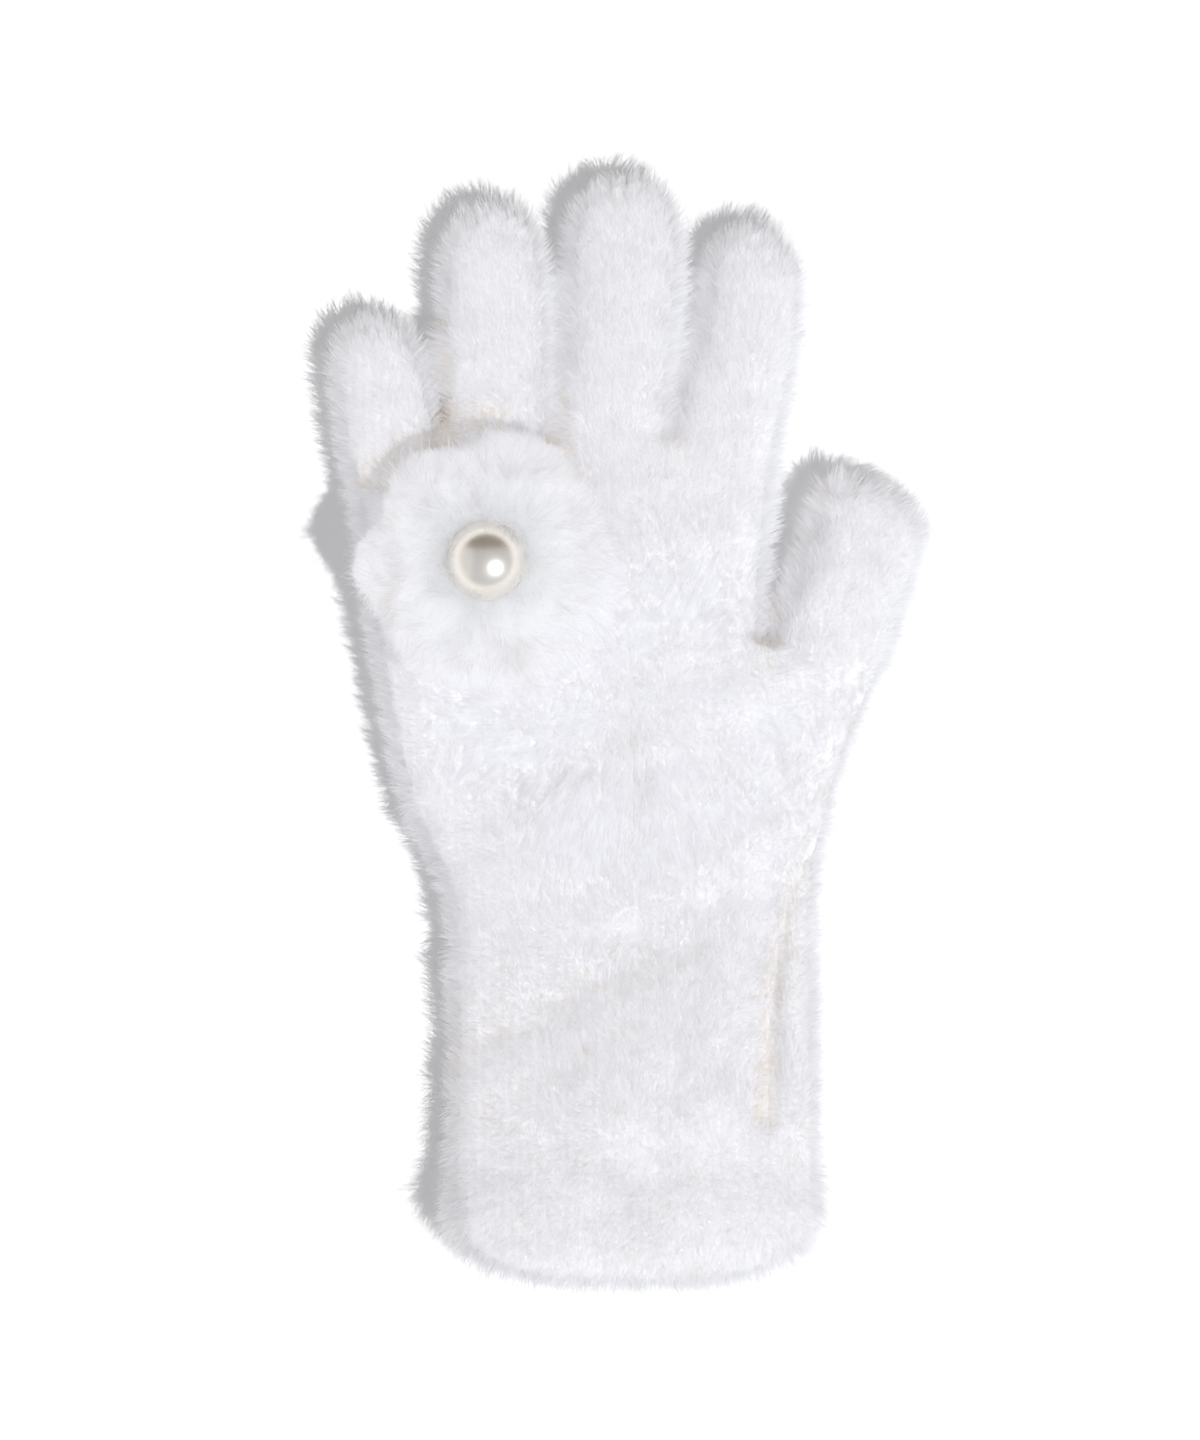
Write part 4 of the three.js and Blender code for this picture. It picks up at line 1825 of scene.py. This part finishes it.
    def rising(
        self, coat: Coat, roots: Roots, ground: PetalGround, way_out: Array, rng: np.random.Generator
    ) -> Array:
        """Give the way that each hair leaves the pelt: along the comb's way, but up beside the bead.

        Args:
            coat: The kind of hair.
            roots: The roots.
            ground: Where they lie.
            way_out: The way that each hair is combed.
            rng: The source of random numbers.

        Returns:
            Unit vectors.
        """
        comb, count = self.combing, len(way_out)
        close = ground.close[:, None]
        lean = along_skin(way_out, roots.facing)
        stand = np.radians(coat.stand + rng.normal(0.0, comb.spread, count))
        way = roots.facing * np.sin(stand)[:, None] + lean * np.cos(stand)[:, None]
        across = rng.normal(0.0, comb.ruff_across, count)[:, None] * np.cross(ground.radial, UP)
        inward = ground.radial * rng.normal(*comb.ruff_inward, count)[:, None]
        return unit(way * (1.0 - close) + unit(inward + across + UP * comb.ruff_up) * close)

    def lengths(self, coat: Coat, ground: PetalGround, rng: np.random.Generator) -> Array:
        """Give each hair's length, so that most end at the flower's uneven edge.

        Args:
            coat: The kind of hair.
            ground: Where the roots lie.
            rng: The source of random numbers.

        Returns:
            The lengths.
        """
        cut, far, radial = self.trim, ground.far, ground.radial
        count = len(far)
        length = coat.length * (1.0 + coat.varies * rng.uniform(-1.0, 1.0, count))
        if coat is self.ruff:
            slope = np.clip((far - cut.ruff_start) * cut.ruff_slope, cut.ruff_least, None)
            length = np.minimum(length, slope)
        away = np.clip(radial @ np.array(cut.longer_way), 0.0, 1.0)
        uneven = swell(radial * cut.uneven_circle, cut.uneven_size, cut.uneven_seed)
        edge = cut.reach + cut.uneven * uneven + cut.longer * away
        edge -= cut.shorter * np.clip(radial @ np.array(cut.shorter_way), 0.0, 1.0)
        room = np.maximum(edge - far, cut.least_room) * rng.uniform(*cut.room_range, count)
        free = rng.random(count) < cut.free + cut.more_free * away
        return np.where(free, length * cut.free_length, np.minimum(length, room))

    def tints(
        self, roots: Roots, ground: PetalGround, parted: Array, seed: int, rng: np.random.Generator
    ) -> Array:
        """Give each hair's tint, with painted light round the bead and painted shade where the fur
        parts and below the petals.

        Args:
            roots: The roots.
            ground: Where they lie.
            parted: How far the fur parts there.
            seed: Picks the clouds.
            rng: The source of random numbers.

        Returns:
            The tints.
        """
        rule = self.toning
        cloud = swell(roots.place, rule.cloud_size, seed + 5) * rule.clouds
        # Painted light round the bead
        cloud += rule.painted_light_at_core * (1.0 - ease(ground.far, *rule.core))
        tint = rule.tone + cloud + rng.normal(0.0, rule.hair_to_hair, len(parted))
        # Painted shade on the hair below the petals, and painted warm shade where the fur parts
        return tint - rule.painted_shade_below * (ground.upper < 0.5) - rule.painted_shade_parted * parted

    @staticmethod
    def parted(places: Array) -> Array:
        """Tell how far the fur parts over each place.

        Args:
            places: Where the middle of each hair lies.

        Returns:
            Shares from 0 to 1.
        """
        plan = places[:, :2] / MM
        found = np.zeros(len(places))
        for line in PARTINGS:
            found = np.maximum(found, line.parted * bell(away_from(plan, line.path) / line.half_width))
        return found


@dataclass
class PearlBead:
    """The pearl: a round bead, drilled through where the thread holds it down."""

    around: int = 96
    along: int = 64
    hole: float = 0.6 * MM
    dimple: float = 0.9 * MM
    taper: float = 0.9
    finish: PearlFinish = PearlFinish()

    def build(self) -> bpy.types.Object:
        """Turn the bead about the thread's way through it, along X.

        Returns:
            The piece.
        """
        low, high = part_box("pearl_bead")
        centre = np.array((low + high) / 2.0)
        profile = self.profile((high.z - low.z) / 2.0)
        turns = np.linspace(0.0, 2.0 * math.pi, self.around, endpoint=False)
        rings = [
            np.stack([np.full(self.around, x), away * np.cos(turns), away * np.sin(turns)], axis=1)
            for x, away in profile
        ]
        deep = profile[0][0]
        points = np.concatenate([*rings, [[deep, 0.0, 0.0], [-deep, 0.0, 0.0]]]) + centre
        mesh = mesh_of("pearl", points, self.faces(len(profile)))
        return dressed_skin("pearl", mesh, self.finish.make(), ["pearl_bead"])

    def profile(self, radius: float) -> list[Point]:
        """Draw half the bead's outline, from one end of its hole round to the other.

        Args:
            radius: The bead's radius.

        Returns:
            Points, each as a place along the hole and a distance from it.
        """
        start = math.asin(self.hole / radius)
        angles = np.linspace(start, math.pi - start, self.along)
        rims = [(radius * math.cos(a), radius * math.sin(a)) for a in angles]
        deep = radius - self.dimple
        return [(deep, self.hole * self.taper), *rims, (-deep, self.hole * self.taper)]

    def faces(self, rows: int) -> Array:
        """Join the rings of points into triangles.

        Args:
            rows: How many rings there are, before the two points that close the ends.

        Returns:
            The triangles.
        """
        faces = []
        last = (rows - 1) * self.around
        first_cap = rows * self.around
        steps = [(step, (step + 1) % self.around) for step in range(self.around)]
        for base in range(0, last, self.around):
            for step, after in steps:
                a, b = base + step, base + after
                c, d = b + self.around, a + self.around
                faces += [(a, b, c), (a, c, d)]
        for step, after in steps:
            faces += [(first_cap, after, step), (first_cap + 1, last + step, last + after)]
        return np.array(faces)


# The studio


@dataclass
class Studio:
    """White paper, a lamp from the lower right, soft light all round, and a camera looking down."""

    middle: Point = (-6.39 * MM, 0.78 * MM)
    frame_height: float = 313.2 * MM
    camera_height: float = 2.0
    plane: float = 7.0 * MM
    sensor: float = 36.0
    sight: float = 20.0
    lamp_way: Way = (0.436, -0.362, 0.824)
    lamp_width: float = math.radians(1.8)
    lamp_power: float = 1.4
    fur_power: float = 0.57
    clear_power: float = 0.19
    paper_power: float = 0.95
    soft_lights: tuple[tuple[Way, float], ...] = (
        ((0.0, 0.0, 1.0), 0.55),
        ((-0.8, 0.45, 0.35), 0.32),
        ((0.8, -0.35, 0.35), 0.32),
    )
    pearl_power: float = 1.7
    pearl_lamp_size: float = 0.42
    fill: float = 0.55
    left_light: Colour = (1.25, 1.24, 1.24)
    middle_light: Colour = (0.9, 0.91, 0.95)
    far_light: Colour = (0.36, 0.29, 0.23)
    wall_light: Colour = (1.66, 1.61, 1.56)
    left_edge: Span = (-0.74, -0.54)
    far_edge: Span = (0.42, 0.68)
    wall_edge: Span = (0.1, 0.24)
    bounces: int = 8
    floor_size: float = 4.0
    paper: PaperFinish = PaperFinish()

    def build(self, glove: list[bpy.types.Object]) -> None:
        """Lay the paper, set the lights and place the camera.

        Args:
            glove: Every piece of the glove, the pearl last.
        """
        paper = self.lay_paper()
        fur = [piece for piece in glove if piece.name.startswith("petal")]
        rest = [piece for piece in glove if piece not in fur]
        self.hang_sun("lamp", self.lamp_way, self.lamp_power, [*rest, paper])
        self.hang_sun("lamp_on_fur", self.lamp_way, self.fur_power, fur)
        clear = self.hang_sun("clear_lamp_on_fur", self.lamp_way, self.clear_power, fur)
        clear.use_shadow = False
        self.hang_sun("lamp_on_paper", self.lamp_way, self.paper_power, [paper])
        for number, (way, power) in enumerate(self.soft_lights):
            soft = self.hang_sun(f"soft_light_{number}", way, power, glove[:-1])
            soft.use_shadow = False
        self.light_pearl(glove[-1])
        self.fill_room()
        self.place_camera()
        scene = bpy.context.scene
        scene.view_settings.view_transform = "Standard"
        scene.view_settings.look = "None"
        scene.cycles.diffuse_bounces = self.bounces
        scene.cycles.transmission_bounces = self.bounces

    def lay_paper(self) -> bpy.types.Object:
        """Lay the paper that the glove rests on.

        Returns:
            The paper.
        """
        half = self.floor_size / 2.0
        corners = [(-half, -half, 0.0), (half, -half, 0.0), (half, half, 0.0), (-half, half, 0.0)]
        mesh = mesh_of("paper", np.array(corners), np.array([[0, 1, 2, 3]]))
        mesh.materials.append(self.paper.make())
        paper = mesh_object("paper", mesh)
        return paper

    def hang_sun(
        self, name: str, way: Way, power: float, lit: list[bpy.types.Object]
    ) -> bpy.types.Light:
        """Hang one far lamp.

        Args:
            name: The lamp's name.
            way: The way from the glove to the lamp.
            power: Its strength.
            lit: What it shines on.

        Returns:
            The lamp.
        """
        lamp = bpy.data.lights.new(name, "SUN")
        lamp.energy = power
        lamp.angle = self.lamp_width
        self.hang(lamp, Vector(way), lit)
        return lamp

    def light_pearl(self, pearl: bpy.types.Object) -> None:
        """Hang a round soft box that gives the pearl its highlight.

        Args:
            pearl: The bead.
        """
        lamp = bpy.data.lights.new("soft_box", "AREA")
        lamp.shape = "DISK"
        lamp.size = self.pearl_lamp_size
        lamp.energy = self.pearl_power
        way = Vector(self.lamp_way).normalized()
        self.hang(lamp, way, [pearl]).location = way

    @staticmethod
    def hang(
        lamp: bpy.types.Light, way: Vector, lit: list[bpy.types.Object]
    ) -> bpy.types.Object:
        """Put a lamp into the scene so that it shines on the given pieces only.

        Args:
            lamp: The lamp.
            way: The way from the glove to the lamp.
            lit: What it shines on.

        Returns:
            The object that holds the lamp.
        """
        holder = bpy.data.objects.new(lamp.name, lamp)
        holder.rotation_euler = way.to_track_quat("Z", "Y").to_euler()
        bpy.context.scene.collection.objects.link(holder)
        group = bpy.data.collections.new(f"{lamp.name}_shines_on")
        for piece in lit:
            group.objects.link(piece)
        holder.light_linking.receiver_collection = group
        return holder

    def fill_room(self) -> None:
        """Fill the room with soft light: pale walls all round, dimmer above and past the fingertips."""
        world = bpy.data.worlds.new("room")
        world.use_nodes = True
        tree = world.node_tree
        place = tree.nodes.new("ShaderNodeTexCoord")
        split = tree.nodes.new("ShaderNodeSeparateXYZ")
        tree.links.new(place.outputs["Generated"], split.inputs["Vector"])
        wide = self.shade(tree, split.outputs["X"], self.left_edge, self.left_light, self.middle_light)
        above = self.shade(tree, split.outputs["Y"], self.far_edge, wide, self.far_light)
        whole = self.shade(tree, split.outputs["Z"], self.wall_edge, self.wall_light, above)
        back = tree.nodes["Background"]
        tree.links.new(whole, back.inputs["Color"])
        back.inputs["Strength"].default_value = self.fill
        bpy.context.scene.world = world

    @staticmethod
    def shade(
        tree: bpy.types.NodeTree,
        source: bpy.types.NodeSocket,
        edge: Span,
        first: bpy.types.NodeSocket | Colour,
        second: bpy.types.NodeSocket | Colour,
    ) -> bpy.types.NodeSocket:
        """Blend from one colour of the room to another along a direction.

        Args:
            tree: The room's nodes.
            source: How far a direction points that way, -1 to 1.
            edge: Where the first colour ends and where the second one begins.
            first: The first colour, or the output that gives it.
            second: The second colour, or the output that gives it.

        Returns:
            The blend's output.
        """
        share = tree.nodes.new("ShaderNodeMapRange")
        share.inputs["From Min"].default_value, share.inputs["From Max"].default_value = edge
        tree.links.new(source, share.inputs["Value"])
        blend = tree.nodes.new("ShaderNodeMix")
        blend.data_type = "RGBA"
        tree.links.new(share.outputs["Result"], blend.inputs[0])
        for socket, colour in ((blend.inputs[6], first), (blend.inputs[7], second)):
            if isinstance(colour, tuple):
                socket.default_value = (*colour, 1.0)
            else:
                tree.links.new(colour, socket)
        return blend.outputs[2]

    def place_camera(self) -> None:
        """Hang the camera straight above, fingertips up."""
        eye = bpy.data.cameras.new("camera")
        eye.sensor_width = self.sensor
        eye.lens = self.sensor * self.camera_height / self.frame_height
        eye.clip_end = self.sight
        holder = bpy.data.objects.new("camera", eye)
        holder.location = (*self.middle, self.camera_height + self.plane)
        bpy.context.scene.collection.objects.link(holder)
        bpy.context.scene.camera = holder


def main() -> None:
    """Build the glove, the flower, the pearl and the studio, and report every piece."""
    body = KnitBody()
    glove = [body.build()]
    glove += Pile(body).build()
    glove += FurFlower().build()
    glove.append(PearlBead().build())
    for piece in glove:
        triangles = len(piece.data.loops) - 2 * len(piece.data.polygons)
        log.info("%s: %d triangles", piece.name, triangles)
    Studio().build(glove)


if __name__ == "__main__":
    main()
